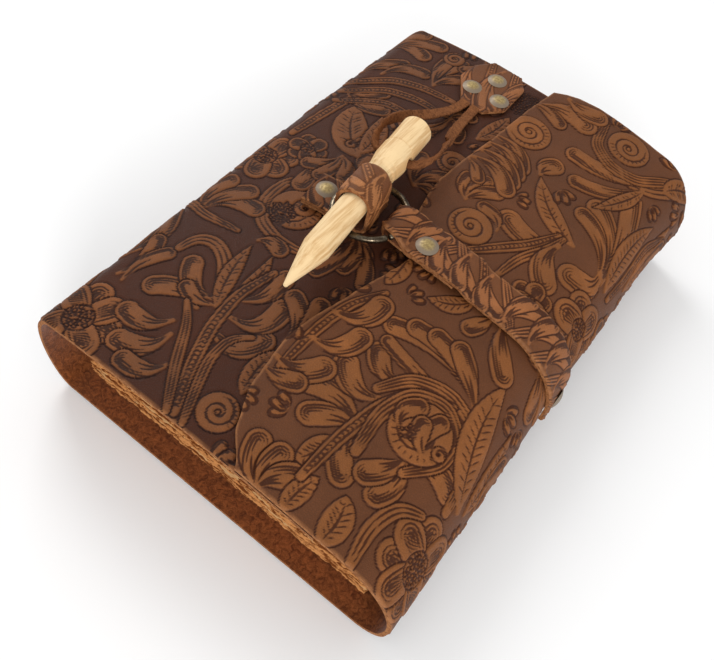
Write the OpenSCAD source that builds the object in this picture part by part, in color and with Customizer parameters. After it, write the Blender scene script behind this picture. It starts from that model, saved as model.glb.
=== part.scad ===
// Leather notebook cover with sewn page sections, a wrap-over flap, and a ring, loop and peg closure.
// Origin at the bottom centre. +X points to the fore-edge, -X to the spine, +Y to the far end, +Z up.

/* [Book] */
// Width from the spine to the fore-edge fold
book_w = 140; // [120:1:180]
// Length of the cover along the spine
book_l = 204; // [170:1:250]
// Height of the closed covers at the spine
book_h = 40.4; // [30:0.2:52]
// Rise of the front cover between its two long sides
arch_h = 3; // [0:0.5:5]

/* [Leather] */
// Thickness of the cover leather
leather_t = 2; // [1.4:0.1:2.6]
// Thickness of the closure leather
strap_t = 1.6; // [1:0.1:2]
// Gap between two layers that lie on each other
layer_gap = 0.4; // [0.3:0.05:0.6]
// Bulge of the spine
spine_bulge = 8; // [5:0.5:12]
// Outer radius of the fold over the fore-edge
fold_r = 27; // [20:1:30]
// Outer radius of the turn at the foot of the fore-edge
foot_r = 10; // [6:1:12]
// How far the flap's far end stands out past the covers
flap_over = 8; // [0:0.5:10]

/* [Pages] */
// Number of sewn page sections
section_count = 9; // [6:1:12]
// Distance from the pages' fore-edge to the inside of the fold
page_gap = 10; // [4:1:20]
// Distance from the pages' ends to the ends of the cover
page_inset = 7.5; // [4:0.5:15]
// Gap between two sections
section_gap = 0.12; // [0.1:0.02:0.2]
// Diameter of the sewing thread
thread_d = 0.8; // [0.6:0.1:1.2]

/* [Closure] */
// Width of the strap
strap_w = 16; // [14:1:24]
// Width of the loop
loop_w = 15; // [12:1:18]
// Distance of the strap's middle from the middle of the book, towards the near end
strap_off = 3; // [0:0.2:6]
// Centre-line radius of the ring
ring_r = 12.8; // [11.4:0.2:14]
// Diameter of the ring's wire
wire_d = 2.4; // [2:0.1:3]
// Diameter of the peg's barrel
peg_d = 9.6; // [8:0.2:11]
// Diameter of the peg's head
head_d = 12; // [11:0.2:13]
// Length of the peg
peg_l = 86; // [80:1:96]
// Turn of the peg away from the book's length, in degrees
peg_turn = 6.4; // [0:0.1:8]
// Diameter of the cross hole for the thong
thong_hole_d = 5; // [4.6:0.2:6]
// Diameter of the thong
thong_d = 3.6; // [3:0.2:4]
// Diameter of a rivet cap
cap_d = 8; // [7:0.5:9]
// Width of the strap where it folds round the ring
tab_w = 9.4; // [8:0.2:10]

/* [Hidden] */
$fn = 48;

hinge_gap = 0.4;                                 // gap between two pieces where the leather bends
end_run = 0.02;                                  // straight run that squares the end of a curved strip
half_w = book_w / 2;
half_l = book_l / 2;
spine_x = -half_w + spine_bulge + leather_t / 2; // where the covers meet the spine
fold_x = half_w - fold_r;                        // where the flap meets the fold
cover_x = fold_x - 3;                            // free edge of the front cover
arch_x = (spine_x + cover_x) / 2;
arch_half = (cover_x - spine_x) / 2;
page_x = spine_x + 1;
page_end = half_w - leather_t - page_gap;        // the pages' fore-edge
page_l = book_l - 2 * page_inset;
page_z = leather_t + 0.3;
page_top = book_h - leather_t - layer_gap;
section_t = (page_top - page_z) / section_count - section_gap;
flap_lift = leather_t + layer_gap;               // from the front cover's top to the flap's top
over_gap = 0.3;                                  // gap between the closure's layers

strap_y = -strap_off;
tab_y = strap_y - 1.6;                           // middle of the strap's folded end
ring_y = tab_y - 1.2;
wire_x = -1;                                     // the wire in the strap's folded end
ring_x = wire_x - ring_r;
wire_r = wire_d / 2;
wire_gap = 0.2;
fold_slack = 1;                                  // room round the wire in the strap's folded end
eye_x = wire_x - 0.7;                            // middle of the folded end, halfway along the wire's bend

loop_y = ring_y;
loop_rivet = [ring_x - ring_r - cap_d / 2 - 1.2, loop_y - 0.7];
tab_rivet = [9, tab_y - 0.2];
patch_rivets = [[-24.8, half_l - 22], [-12.3, half_l - 21.3], [-19.3, half_l - 11.1]];
anchor_z = 17;                                   // height of the strap's rivet on the fore-edge
shank_r = 1.75;
shank_wall = 0.5;
pin_gap = 0.05;
cap_h = 1.2;
base_t = 0.8;
base_gap = 0.1;

// Height that the arch adds at x
function arch(x) = arch_h * (1 - pow((x - arch_x) / arch_half, 2));
// Top of the front cover and of the flap at x
function cover_top(x) = book_h + arch(x);
function flap_top(x) = cover_top(x) + flap_lift;

ring_low = cover_top(ring_x - ring_r) + over_gap + 2 * strap_t + 0.1 + wire_gap + wire_r;
ring_high = flap_top(wire_x) + over_gap + strap_t + fold_slack + wire_r;
ring_tilt = asin((ring_high - ring_low) / (2 * ring_r));
peg_mid_x = ring_x - 4.2;                        // where the peg crosses the strap's middle
peg_z = ring_low + (peg_mid_x + 2 - ring_x + ring_r) * tan(ring_tilt) + wire_r + over_gap + peg_d / 2;
peg_tip_y = -53;
peg_tip_x = peg_mid_x + (strap_y - peg_tip_y) * tan(peg_turn);

// Outline of a strip of thickness t along a path
function turn_at(p, i) = let(a = p[max(i - 1, 0)], b = p[min(i + 1, len(p) - 1)], d = b - a) d / norm(d);
function side(p, t, s) = [for (i = [0 : len(p) - 1]) let(d = turn_at(p, i)) p[i] + s * t / 2 * [-d[1], d[0]]];
function reversed(p) = [for (i = [len(p) - 1 : -1 : 0]) p[i]];
function strip(p, t) = concat(side(p, t, 1), reversed(side(p, t, -1)));
function arc(c, r, a0, a1, n) = [for (i = [0 : n]) let(a = a0 + (a1 - a0) * i / n) c + r * [cos(a), sin(a)]];

// Points of a smooth curve through the control points p
function curve_at(p, i, u) = let(n = len(p) - 1, a = p[max(i - 1, 0)], b = p[i], c = p[min(i + 1, n)],
    d = p[min(i + 2, n)]) 0.5 * (2 * b + (c - a) * u + (2 * a - 5 * b + 4 * c - d) * u * u
    + (3 * b - a - 3 * c + d) * u * u * u);
function curve(p, n) = concat([for (i = [0 : len(p) - 2], k = [0 : n - 1]) curve_at(p, i, k / n)],
    [p[len(p) - 1]]);

// A section in X and Z, drawn out along Y between two ends
module along_y(y0, y1) {
    translate([0, y1, 0]) rotate([90, 0, 0]) linear_extrude(y1 - y0) children();
}

// Upright cutter for a rivet's shank and for its base in the flesh side
module rivet_hole(x, y, z_top, z_low) {
    translate([x, y, z_low - 1]) cylinder(h = z_top - z_low + 2, r = shank_r + pin_gap);
    translate([x, y, z_low - 1]) cylinder(h = 1 + base_t + 2 * base_gap, d = cap_d - 1 + 2 * pin_gap);
}

// A cap: low dome and hollow shank, its underside at the origin
module rivet_cap(grip) {
    dome_r = (pow(cap_d / 2, 2) + pow(cap_h, 2)) / (2 * cap_h);
    rotate_extrude() intersection() {
        translate([0, cap_h - dome_r]) circle(r = dome_r, $fn = 96);
        square([cap_d / 2, cap_h]);
    }
    translate([0, 0, -grip + base_t + 2 * base_gap]) difference() {
        cylinder(h = grip - base_t - 2 * base_gap, r = shank_r);
        translate([0, 0, -1]) cylinder(h = grip - base_t, r = shank_r - shank_wall);
    }
}

// A base: flat disc with the pin that the shank takes, its lower face at the origin
module rivet_base(grip) {
    cylinder(h = base_t, d = cap_d - 1);
    cylinder(h = grip - 2 * base_t, r = shank_r - shank_wall - pin_gap);
}

// ---- the cover leather ----

back_path = concat([[spine_x + end_run, leather_t / 2]],
    arc([half_w - foot_r, foot_r - end_run], foot_r - leather_t / 2 - end_run, -90, 0, 8),
    [[half_w - leather_t / 2 - end_run, foot_r]]);
spine_path = concat([[spine_x + end_run, leather_t / 2]],
    [for (i = [0 : 20]) let(a = -90 + 9 * i)
        [spine_x - spine_bulge * cos(a), book_h / 2 + (book_h / 2 - leather_t / 2) * sin(a)]],
    [[spine_x + end_run, book_h - leather_t / 2]]);
cover_path = [for (i = [0 : 16]) let(x = spine_x + hinge_gap + (cover_x - spine_x - hinge_gap) * i / 16)
    [x, cover_top(x) - leather_t / 2]];
fold_top = flap_top(fold_x);
fold_path = concat([[half_w - leather_t / 2, foot_r + hinge_gap]],
    arc([fold_x, fold_top - fold_r], fold_r - leather_t / 2, 0, 90, 14),
    [[fold_x - end_run, fold_top - leather_t / 2]]);
flap_tip_x = -10;                                // the strip that the flap is cut from starts here
flap_path = [for (i = [0 : 10]) let(x = flap_tip_x + (fold_x - hinge_gap - flap_tip_x) * i / 10)
    [x, flap_top(x) - leather_t / 2]];

// Free edge of the flap: a two-lobed wave from the near end to the far end, [x, share of half the length]
flap_edge = [[14, -1.02], [10.8, -0.975], [5, -0.92], [-1.2, -0.79], [-3.9, -0.61], [-2.9, -0.5], [-0.2, -0.39],
    [2.1, -0.29], [5.8, -0.146], [6.5, -0.08], [3, 0], [-2.9, 0.082], [-5.6, 0.196], [-6.2, 0.27], [-5, 0.42],
    [-3.2, 0.57], [-2.2, 0.705], [-1.1, 0.845], [0.4, 0.945]];
// Far end of the flap and the fold, [x, share of flap_over]
flap_far = [[2, 0.05], [6, 0.5], [11, 0.78], [20, 1], [30, 1], [fold_x, 0.94], [fold_x + 10, 0.7],
    [fold_x + 19, 0.3], [half_w, 0]];

// Plan outline that the flap and the fold are cut to
module flap_outline() {
    edge = curve([for (p = flap_edge) [p[0], p[1] * half_l]], 4);
    far = curve([for (p = flap_far) [p[0], half_l + p[1] * flap_over]], 3);
    linear_extrude(2 * book_h) polygon(concat(edge, far, [[half_w + 1, half_l], [half_w + 1, -half_l]]));
}

module back_cover() {
    color("saddlebrown") along_y(-half_l, half_l) polygon(strip(back_path, leather_t));
}

module spine() {
    color("sienna") along_y(-half_l, half_l) polygon(strip(spine_path, leather_t));
}

module front_cover() {
    color("saddlebrown") difference() {
        along_y(-half_l, half_l) polygon(strip(cover_path, leather_t));
        rivet_hole(loop_rivet[0], loop_rivet[1], cover_top(loop_rivet[0]), cover_top(loop_rivet[0]) - leather_t);
        for (p = patch_rivets) rivet_hole(p[0], p[1], cover_top(p[0]), cover_top(p[0]) - leather_t);
    }
}

module fore_edge_fold() {
    color("sienna") difference() {
        intersection() {
            along_y(-half_l, half_l + flap_over) polygon(strip(fold_path, leather_t));
            flap_outline();
        }
        translate([half_w, strap_y, anchor_z]) rotate([0, 90, 0]) rivet_hole(0, 0, 0, -leather_t);
    }
}

module flap() {
    color("peru") intersection() {
        along_y(-half_l, half_l + flap_over) polygon(strip(flap_path, leather_t));
        flap_outline();
    }
}

// ---- the pages ----

// Inside of the fold at height z, less a little room
function fold_inside(z) = fold_x + sqrt(pow(fold_r - leather_t, 2) - pow(max(z - fold_top + fold_r, 0), 2)) - 0.8;

module section(n) {
    z0 = page_z + (n - 1) * (section_t + section_gap);
    x0 = page_x + section_t / 2;
    color("burlywood") {
        translate([x0, -page_l / 2, z0]) cube([min(page_end, fold_inside(z0 + section_t)) - x0, page_l, section_t]);
        translate([x0, page_l / 2, z0 + section_t / 2]) rotate([90, 0, 0]) cylinder(h = page_l, d = section_t);
    }
}

// Long stitches on the outside of the spine, one row to a section
module sewing_thread() {
    stitch = page_l / 9;
    color("wheat") for (n = [1 : section_count], k = [0 : 3]) {
        z = page_z + (n - 0.5) * (section_t + section_gap);
        s = min(max((z - book_h / 2) / (book_h / 2 - leather_t / 2), -0.97), 0.97);
        x = spine_x - spine_bulge * sqrt(1 - s * s) - leather_t / 2 - thread_d;
        translate([x, (2 * k - 2.5) * stitch, z]) rotate([90, 0, 0]) cylinder(h = stitch, d = thread_d, $fn = 16);
    }
}

// ---- the closure ----

strap_fold_path = concat([[half_w + over_gap + strap_t / 2, anchor_z - cap_d / 2 - 1]],
    arc([fold_x, fold_top - fold_r], fold_r + over_gap + strap_t / 2, 0, 90, 14),
    [[fold_x - end_run, fold_top + over_gap + strap_t / 2]]);
tab_end_x = tab_rivet[0] + cap_d / 2 + 1;
eye = [eye_x, ring_high];
eye_r = wire_r + fold_slack + strap_t / 2;
strap_path = concat(
    [for (i = [0 : 8]) let(x0 = fold_x - hinge_gap, x = x0 + (eye_x - x0) * i / 8)
        [x, flap_top(x) + over_gap + strap_t / 2]],
    arc(eye, eye_r, -100, -270, 10),
    [for (i = [1 : 4]) let(u = i / 4, x = eye_x + (tab_rivet[0] - cap_d / 2 - eye_x) * u,
        low = flap_top(x) + over_gap + 1.5 * strap_t + 0.1)
        [x, low + (eye[1] + eye_r - low) * (1 - u) * (1 - u) * (1 + 2 * u)]],
    [[tab_end_x, flap_top(tab_end_x) + over_gap + 1.5 * strap_t + 0.1]]);
tab_top = flap_top(tab_rivet[0] - cap_d / 2) + over_gap + 2 * strap_t + 0.1;
tab_low = flap_top(tab_rivet[0]) + over_gap;

module strap_fold_run() {
    color("chocolate") difference() {
        along_y(strap_y - strap_w / 2, strap_y + strap_w / 2) polygon(strip(strap_fold_path, strap_t));
        translate([half_w, strap_y, anchor_z]) rotate([0, 90, 0])
            translate([0, 0, -1]) cylinder(h = strap_t + 3, r = shank_r + pin_gap);
    }
}

module closure_strap() {
    y0 = strap_y - strap_w / 2;
    y1 = strap_y + strap_w / 2;
    t0 = tab_y - tab_w / 2;
    t1 = tab_y + tab_w / 2;
    color("chocolate") difference() {
        intersection() {
            along_y(y0, y1) polygon(strip(strap_path, strap_t));
            linear_extrude(3 * book_h) polygon([[fold_x, y0], [eye_x + 8, y0], [eye_x + 3, t0], [eye_x - 6, t0],
                [eye_x - 6, t1], [eye_x + 3, t1], [eye_x + 8, y1], [fold_x, y1]]);
        }
        rivet_hole(tab_rivet[0], tab_rivet[1], tab_top, tab_low);
    }
}

module ring() {
    color("darkslategray") translate([wire_x, ring_y, ring_high]) rotate([0, -ring_tilt, 0])
        translate([-ring_r, 0, 0]) rotate_extrude() translate([ring_r, 0]) circle(r = wire_r, $fn = 24);
}

// The loop is one strip across the peg. Both its ends lie under the rivet and under the ring, and it stands up
// inside the ring and goes round the peg, so that the ring comes off once the peg is out.
// Its path has the peg's axis at x = 0.
loop_x = peg_mid_x + (strap_y - loop_y) * tan(peg_turn);
rivet_u = loop_rivet[0] - loop_x;                // the loop's rivet, from the peg's axis
loop_low = cover_top(loop_rivet[0]) + over_gap + strap_t / 2;
loop_mid = cover_top(loop_x) + over_gap + strap_t / 2;
ply = strap_t + 0.1;                             // from one layer to the next
loop_r = peg_d / 2 + 0.5 + strap_t / 2;
turn_room = loop_w / 2 * sin(peg_turn);          // how far the loop's turn moves its ends
neck_u = ring_x - sqrt(pow(ring_r - wire_r, 2) - pow(loop_w / 2 + 0.2, 2)) + turn_room + strap_t / 2 - loop_x;
loop_path = concat(
    [[rivet_u - 5, loop_low], [rivet_u + 5, loop_low], [-2, loop_mid], [loop_r - 3, loop_mid + 0.1],
    [loop_r - 1, loop_mid + 1], [loop_r, loop_mid + 3]],
    arc([0, peg_z], loop_r, 0, 180 + acos(-neck_u / loop_r), 20),
    [[neck_u, loop_mid + ply + 2.2], [neck_u - 0.7, loop_mid + ply + 0.8], [neck_u - 2.2, loop_mid + ply + 0.1],
    [neck_u - 3.6, loop_mid + ply - 0.1], [rivet_u + 5, loop_low + ply], [rivet_u - 5, loop_low + ply]]);
loop_top = loop_low + ply + strap_t / 2;

module closure_loop() {
    color("chocolate") difference() {
        translate([loop_x, loop_y, 0]) rotate([0, 0, peg_turn])
            along_y(-loop_w / 2, loop_w / 2) polygon(strip(loop_path, strap_t));
        translate([loop_rivet[0], loop_rivet[1], loop_low - 2]) cylinder(h = 8, r = shank_r + pin_gap);
    }
}

// Turned peg along +Y from its tip
peg_hole = 68.4;                                 // distance of the cross hole from the tip
head_from = 72;                                  // where the head starts
module peg_shape() {
    barrel = peg_d / 2;
    head = head_d / 2;
    rotate([-90, 0, 0]) rotate_extrude() polygon([[0, 0], [0.7, 0.3], [barrel - 0.6, 15], [barrel, 18],
        [barrel, 58.4], [barrel + 0.4, 59.2], [barrel + 0.4, 60.6], [head - 0.6, 61.2], [head, 65],
        [head, 71], [head - 0.5, 71.5], [head - 0.3, head_from], [head - 0.2, peg_l - 0.8], [head - 0.9, peg_l],
        [0, peg_l]]);
}

module peg() {
    color("wheat") translate([peg_tip_x, peg_tip_y, peg_z]) rotate([0, 0, peg_turn]) difference() {
        peg_shape();
        translate([-head_d, peg_hole, 0]) rotate([0, 90, 0]) cylinder(h = 2 * head_d, d = thong_hole_d);
    }
}

// Route of the thong: from the patch, left about the head, through the cross hole and back.
// Each point is [distance from the hole in x, share of the way to the patch, share of the height to the peg].
patch_near = half_l - 31.5;
thong_low = book_h + arch_h + 0.1 + thong_d / 2;
hole_x = peg_tip_x - peg_hole * sin(peg_turn);
hole_y = peg_tip_y + peg_hole * cos(peg_turn);
hole_run = thong_hole_d * cos(peg_turn);         // from the hole's middle to a little way outside it
hole_rise = hole_run * tan(peg_turn) / (patch_near - hole_y);
thong_route = [for (p = [[-2.1, 0.995, 0], [-2.4, 0.95, 0], [-3.4, 0.85, 0.04], [-4.8, 0.755, 0.13],
    [-6.8, 0.635, 0.3], [-9.7, 0.51, 0.51], [-12.2, 0.37, 0.75], [-13, 0.235, 0.93], [-11.4, 0.105, 1],
    [-8.4, 0.01, 1], [-hole_run, -hole_rise, 1], [0, 0, 1], [hole_run, hole_rise, 1], [7.8, 0.045, 1],
    [9.6, 0.125, 0.97], [10, 0.25, 0.82], [8.7, 0.38, 0.62], [5.7, 0.57, 0.33], [4, 0.75, 0.11],
    [3.2, 0.87, 0.02], [2.8, 0.95, 0], [2.6, 0.995, 0]])
    [hole_x + p[0], hole_y + p[1] * (patch_near - hole_y), thong_low + p[2] * (peg_z - thong_low)]];

// Rings of points at right angles to a route, joined into one closed tube
function frames(p) = [for (i = [0 : len(p) - 1]) let(d = turn_at(p, i),
    u = cross(d, [0, 0, 1]) / norm(cross(d, [0, 0, 1]))) [u, cross(u, d)]];
module tube(p, r, n) {
    m = len(p);
    f = frames(p);
    points = [for (i = [0 : m - 1], k = [0 : n - 1]) let(a = 360 * k / n)
        p[i] + r * (cos(a) * f[i][0] + sin(a) * f[i][1])];
    faces = concat([[for (k = [0 : n - 1]) k]], [[for (k = [n - 1 : -1 : 0]) (m - 1) * n + k]],
        [for (i = [0 : m - 2], k = [0 : n - 1]) let(a = i * n + k, b = i * n + (k + 1) % n)
            [a, a + n, b + n, b]]);
    polyhedron(points = points, faces = faces, convexity = 4);
}

module tether_thong() {
    color("saddlebrown") tube(curve(thong_route, 2), thong_d / 2, 8);
}

patch_top = book_h + arch_h + over_gap + strap_t;
module tether_patch() {
    outline = [[-31.5, half_l - 8.8], [-32.3, half_l - 18.7], [-24, patch_near], [-14, patch_near],
        [-7.9, half_l - 24], [-8.3, half_l - 7.5], [-13, half_l - 1], [-26, half_l - 1]];
    color("chocolate") difference() {
        translate([0, 0, patch_top - strap_t]) linear_extrude(strap_t) offset(r = 1) offset(delta = -1)
            polygon(outline);
        for (p = patch_rivets) translate([p[0], p[1], patch_top - 4]) cylinder(h = 6, r = shank_r + pin_gap);
    }
}

// ---- the rivets ----

module loop_rivet_cap() {
    grip = loop_top - cover_top(loop_rivet[0]) + leather_t;
    color("darkgoldenrod") translate([loop_rivet[0], loop_rivet[1], loop_top]) rivet_cap(grip);
}

module loop_rivet_base() {
    low = cover_top(loop_rivet[0]) - leather_t;
    color("darkgoldenrod") translate([loop_rivet[0], loop_rivet[1], low]) rivet_base(loop_top - low);
}

module tab_rivet_cap() {
    color("darkgoldenrod") translate([tab_rivet[0], tab_rivet[1], tab_top]) rivet_cap(tab_top - tab_low);
}

module tab_rivet_base() {
    color("darkgoldenrod") translate([tab_rivet[0], tab_rivet[1], tab_low]) rivet_base(tab_top - tab_low);
}

module patch_rivet_caps() {
    color("darkgoldenrod") for (p = patch_rivets)
        translate([p[0], p[1], patch_top]) rivet_cap(patch_top - cover_top(p[0]) + leather_t);
}

module patch_rivet_bases() {
    color("darkgoldenrod") for (p = patch_rivets) {
        low = cover_top(p[0]) - leather_t;
        translate([p[0], p[1], low]) rivet_base(patch_top - low);
    }
}

module on_fore_edge() {
    translate([half_w - leather_t, strap_y, anchor_z]) rotate([0, 90, 0]) children();
}

anchor_grip = leather_t + over_gap + strap_t;
module anchor_rivet_cap() {
    color("darkgoldenrod") on_fore_edge() translate([0, 0, anchor_grip]) rivet_cap(anchor_grip);
}

module anchor_rivet_base() {
    color("darkgoldenrod") on_fore_edge() rivet_base(anchor_grip);
}

back_cover();
spine();
front_cover();
fore_edge_fold();
flap();
section(1);  // section_1
section(2);  // section_2
section(3);  // section_3
section(4);  // section_4
section(5);  // section_5
section(6);  // section_6
section(7);  // section_7
section(8);  // section_8
section(9);  // section_9
sewing_thread();
strap_fold_run();
closure_strap();
ring();
peg();
closure_loop();
tether_thong();
tether_patch();
loop_rivet_cap();
loop_rivet_base();
tab_rivet_cap();
tab_rivet_base();
patch_rivet_caps();
patch_rivet_bases();
anchor_rivet_cap();
anchor_rivet_base();
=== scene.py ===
"""Leather notebook cover: tooled leather, sewn pages, and a ring, loop and peg closure."""

import logging
import math
from dataclasses import dataclass, field
from enum import Enum
from typing import Callable, Iterable, Optional, Sequence

import bpy
import numpy as np
from mathutils import Matrix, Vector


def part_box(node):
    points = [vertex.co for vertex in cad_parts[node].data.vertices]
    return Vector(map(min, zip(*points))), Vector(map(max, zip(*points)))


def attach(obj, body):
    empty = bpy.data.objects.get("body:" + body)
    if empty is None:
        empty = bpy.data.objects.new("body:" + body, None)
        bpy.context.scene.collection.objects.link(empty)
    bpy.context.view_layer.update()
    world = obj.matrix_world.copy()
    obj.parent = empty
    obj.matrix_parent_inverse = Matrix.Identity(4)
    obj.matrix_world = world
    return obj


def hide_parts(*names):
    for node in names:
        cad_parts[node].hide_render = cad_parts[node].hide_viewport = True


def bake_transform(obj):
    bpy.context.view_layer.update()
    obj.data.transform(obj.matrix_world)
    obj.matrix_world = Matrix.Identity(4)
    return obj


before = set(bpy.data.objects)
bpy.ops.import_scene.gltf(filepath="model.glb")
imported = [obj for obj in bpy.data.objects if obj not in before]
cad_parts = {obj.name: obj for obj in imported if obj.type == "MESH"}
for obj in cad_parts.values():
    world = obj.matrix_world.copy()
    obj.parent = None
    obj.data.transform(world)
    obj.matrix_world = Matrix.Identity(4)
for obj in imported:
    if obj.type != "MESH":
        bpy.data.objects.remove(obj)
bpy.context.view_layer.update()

LOG = logging.getLogger("notebook")
MM = 0.001
Point = tuple[float, float]

# Sizes of the CAD part, in millimetres.
SPINE_X, COVER_X, FOLD_X, HALF_W, HALF_L = -61.0, 40.0, 43.0, 70.0, 102.0
LEATHER, STRAP, BOOK_H, LIFT = 2.0, 1.6, 40.4, 2.4
FOLD_R, FOLD_TOP, FLAP_OVER = 27.0, 42.433, 8.0
PEG_TURN = math.radians(6.4)
PEG_Z = 55.1
LOOP_X, LOOP_Y, LOOP_W = -17.686, -5.8, 15.0
RING_C, RING_R, WIRE = (-13.8, -5.8), 12.8, 2.4
RING_TILT, RING_LOW, RING_GAP, RING_CUT_AT = (
    math.radians(3.805), 48.095, math.radians(4.0), math.radians(-27)
)

# The long stitches on the spine, in millimetres.
STITCH, STITCH_STATIONS, FIRST_SECTION_Z, SECTION_STEP, SECTIONS = 21.0, 22, 2.3, 3.967, 9

# The stage, the light and the camera, in metres, watts and degrees.
FLOOR_SIZE, FLOOR_Z, FLOOR_GREY, FLOOR_ROUGH, SKY = 6.0, -0.0004, 0.97, 0.9, 0.72
SMOOTH_UNDER = math.radians(32)
CAMERA_AT, CAMERA_TURN, CAMERA_DOWN, CAMERA_ROLL = (0.0634, -0.16104, 0.23622), -24.48, 56.19, 14.92
SENSOR, LENS, CLIP_START = 36.0, 37.79, 0.01


def arch(x: np.ndarray) -> np.ndarray:
    """Height that the front cover's arch adds at x."""
    return 3.0 * (1 - ((np.asarray(x, float) + 10.5) / 50.5) ** 2)


def smooth(t: np.ndarray) -> np.ndarray:
    """Smoothstep of t, clipped to 0 and 1."""
    t = np.clip(t, 0, 1)
    return t * t * (3 - 2 * t)


def colour(red: float, green: float, blue: float) -> tuple[float, float, float, float]:
    """Linear RGBA of a colour given in display values from 0 to 255."""
    return tuple(((v / 255 + 0.055) / 1.055) ** 2.4 for v in (red, green, blue)) + (1.0,)


def fullness(x: np.ndarray, y: np.ndarray, z: np.ndarray) -> np.ndarray:
    """How far the leather stands out from its plain section, at the spine and at the fold's far end."""
    spine = 1.4 * smooth((-60 - x) / 9) * np.exp(-(((y - 35) / 62) ** 2))
    clear = 1 - np.exp(-(((y + 3) / 18) ** 2))
    fold = smooth((x - 46) / 18) * smooth((z - 4) / 14) * (0.9 * clear + 3.4 * smooth((y - 70) / 38))
    return spine + fold


class Noise:
    """Smooth value noise on a fixed lattice."""

    def __init__(self, seed: int) -> None:
        self.grid = np.random.RandomState(seed).rand(256, 256)

    def at(self, x: np.ndarray, y: np.ndarray, size: float) -> np.ndarray:
        """Noise from -0.5 to 0.5.

        Args:
            x, y: Places in millimetres.
            size: Distance between lattice points.
        """
        x, y = np.asarray(x, float) / size + 77.3, np.asarray(y, float) / size + 51.7
        i, j = np.floor(x).astype(int), np.floor(y).astype(int)
        fx, fy = smooth(x - i), smooth(y - j)
        i0, i1, j0, j1 = i % 256, (i + 1) % 256, j % 256, (j + 1) % 256
        low = self.grid[i0, j0] * (1 - fx) + self.grid[i1, j0] * fx
        high = self.grid[i0, j1] * (1 - fx) + self.grid[i1, j1] * fx
        return low * (1 - fy) + high * fy - 0.5

    def layers(self, x: np.ndarray, y: np.ndarray, size: float, count: int = 3) -> np.ndarray:
        """Sum of count noises, each half the size and half the height of the one before."""
        return sum(self.at(x, y, size / 2**k) / 2**k for k in range(count))


class Path:
    """A smooth line in X and Z with places and normals by length. The normal is on the left of the line."""

    def __init__(
        self, points: Sequence[Point], rounding: float = 0.0, at_x: Optional[float] = None
    ) -> None:
        p = np.array(points, float)
        s = np.r_[0, np.cumsum(np.hypot(*np.diff(p, axis=0).T))]
        fine = np.linspace(0, s[-1], int(s[-1] / 0.1) + 2)
        p = np.stack([np.interp(fine, s, p[:, k]) for k in (0, 1)], 1)
        if rounding:
            reach = int(3 * rounding / 0.1)
            kernel = np.exp(-0.5 * (np.arange(-reach, reach + 1) * 0.1 / rounding) ** 2)
            ends = [2 * p[0] - p[reach:0:-1], p, 2 * p[-1] - p[-2 : -reach - 2 : -1]]
            wide = np.concatenate(ends)
            p = np.stack([np.convolve(wide[:, k], kernel / kernel.sum(), "valid") for k in (0, 1)], 1)
        self.p = p
        self.s = np.r_[0, np.cumsum(np.hypot(*np.diff(p, axis=0).T))]
        if at_x is not None:
            self.s -= self.s[np.argmin(np.abs(p[:, 0] - at_x))] - at_x
        d = np.gradient(p, axis=0)
        d /= np.hypot(*d.T)[:, None]
        self.n = np.stack([-d[:, 1], d[:, 0]], 1)

    def at(self, s: np.ndarray) -> tuple[np.ndarray, np.ndarray]:
        """Places and normals, each as an array of X and Z, at lengths s."""
        place = np.stack([np.interp(s, self.s, self.p[:, k]) for k in (0, 1)], -1)
        normal = np.stack([np.interp(s, self.s, self.n[:, k]) for k in (0, 1)], -1)
        return place, normal / np.maximum(np.linalg.norm(normal, axis=-1, keepdims=True), 1e-9)


def arc(
    cx: float, cz: float, r: float, a0: float, a1: float, n: int = 24, rz: Optional[float] = None
) -> list[Point]:
    """Points on an arc from a0 to a1 degrees, with its own radius along Z if rz is given."""
    return [
        (cx + r * math.cos(a), cz + (rz or r) * math.sin(a)) for a in np.radians(np.linspace(a0, a1, n))
    ]


# ---------------------------------------------------------------- the tooled pattern


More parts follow.
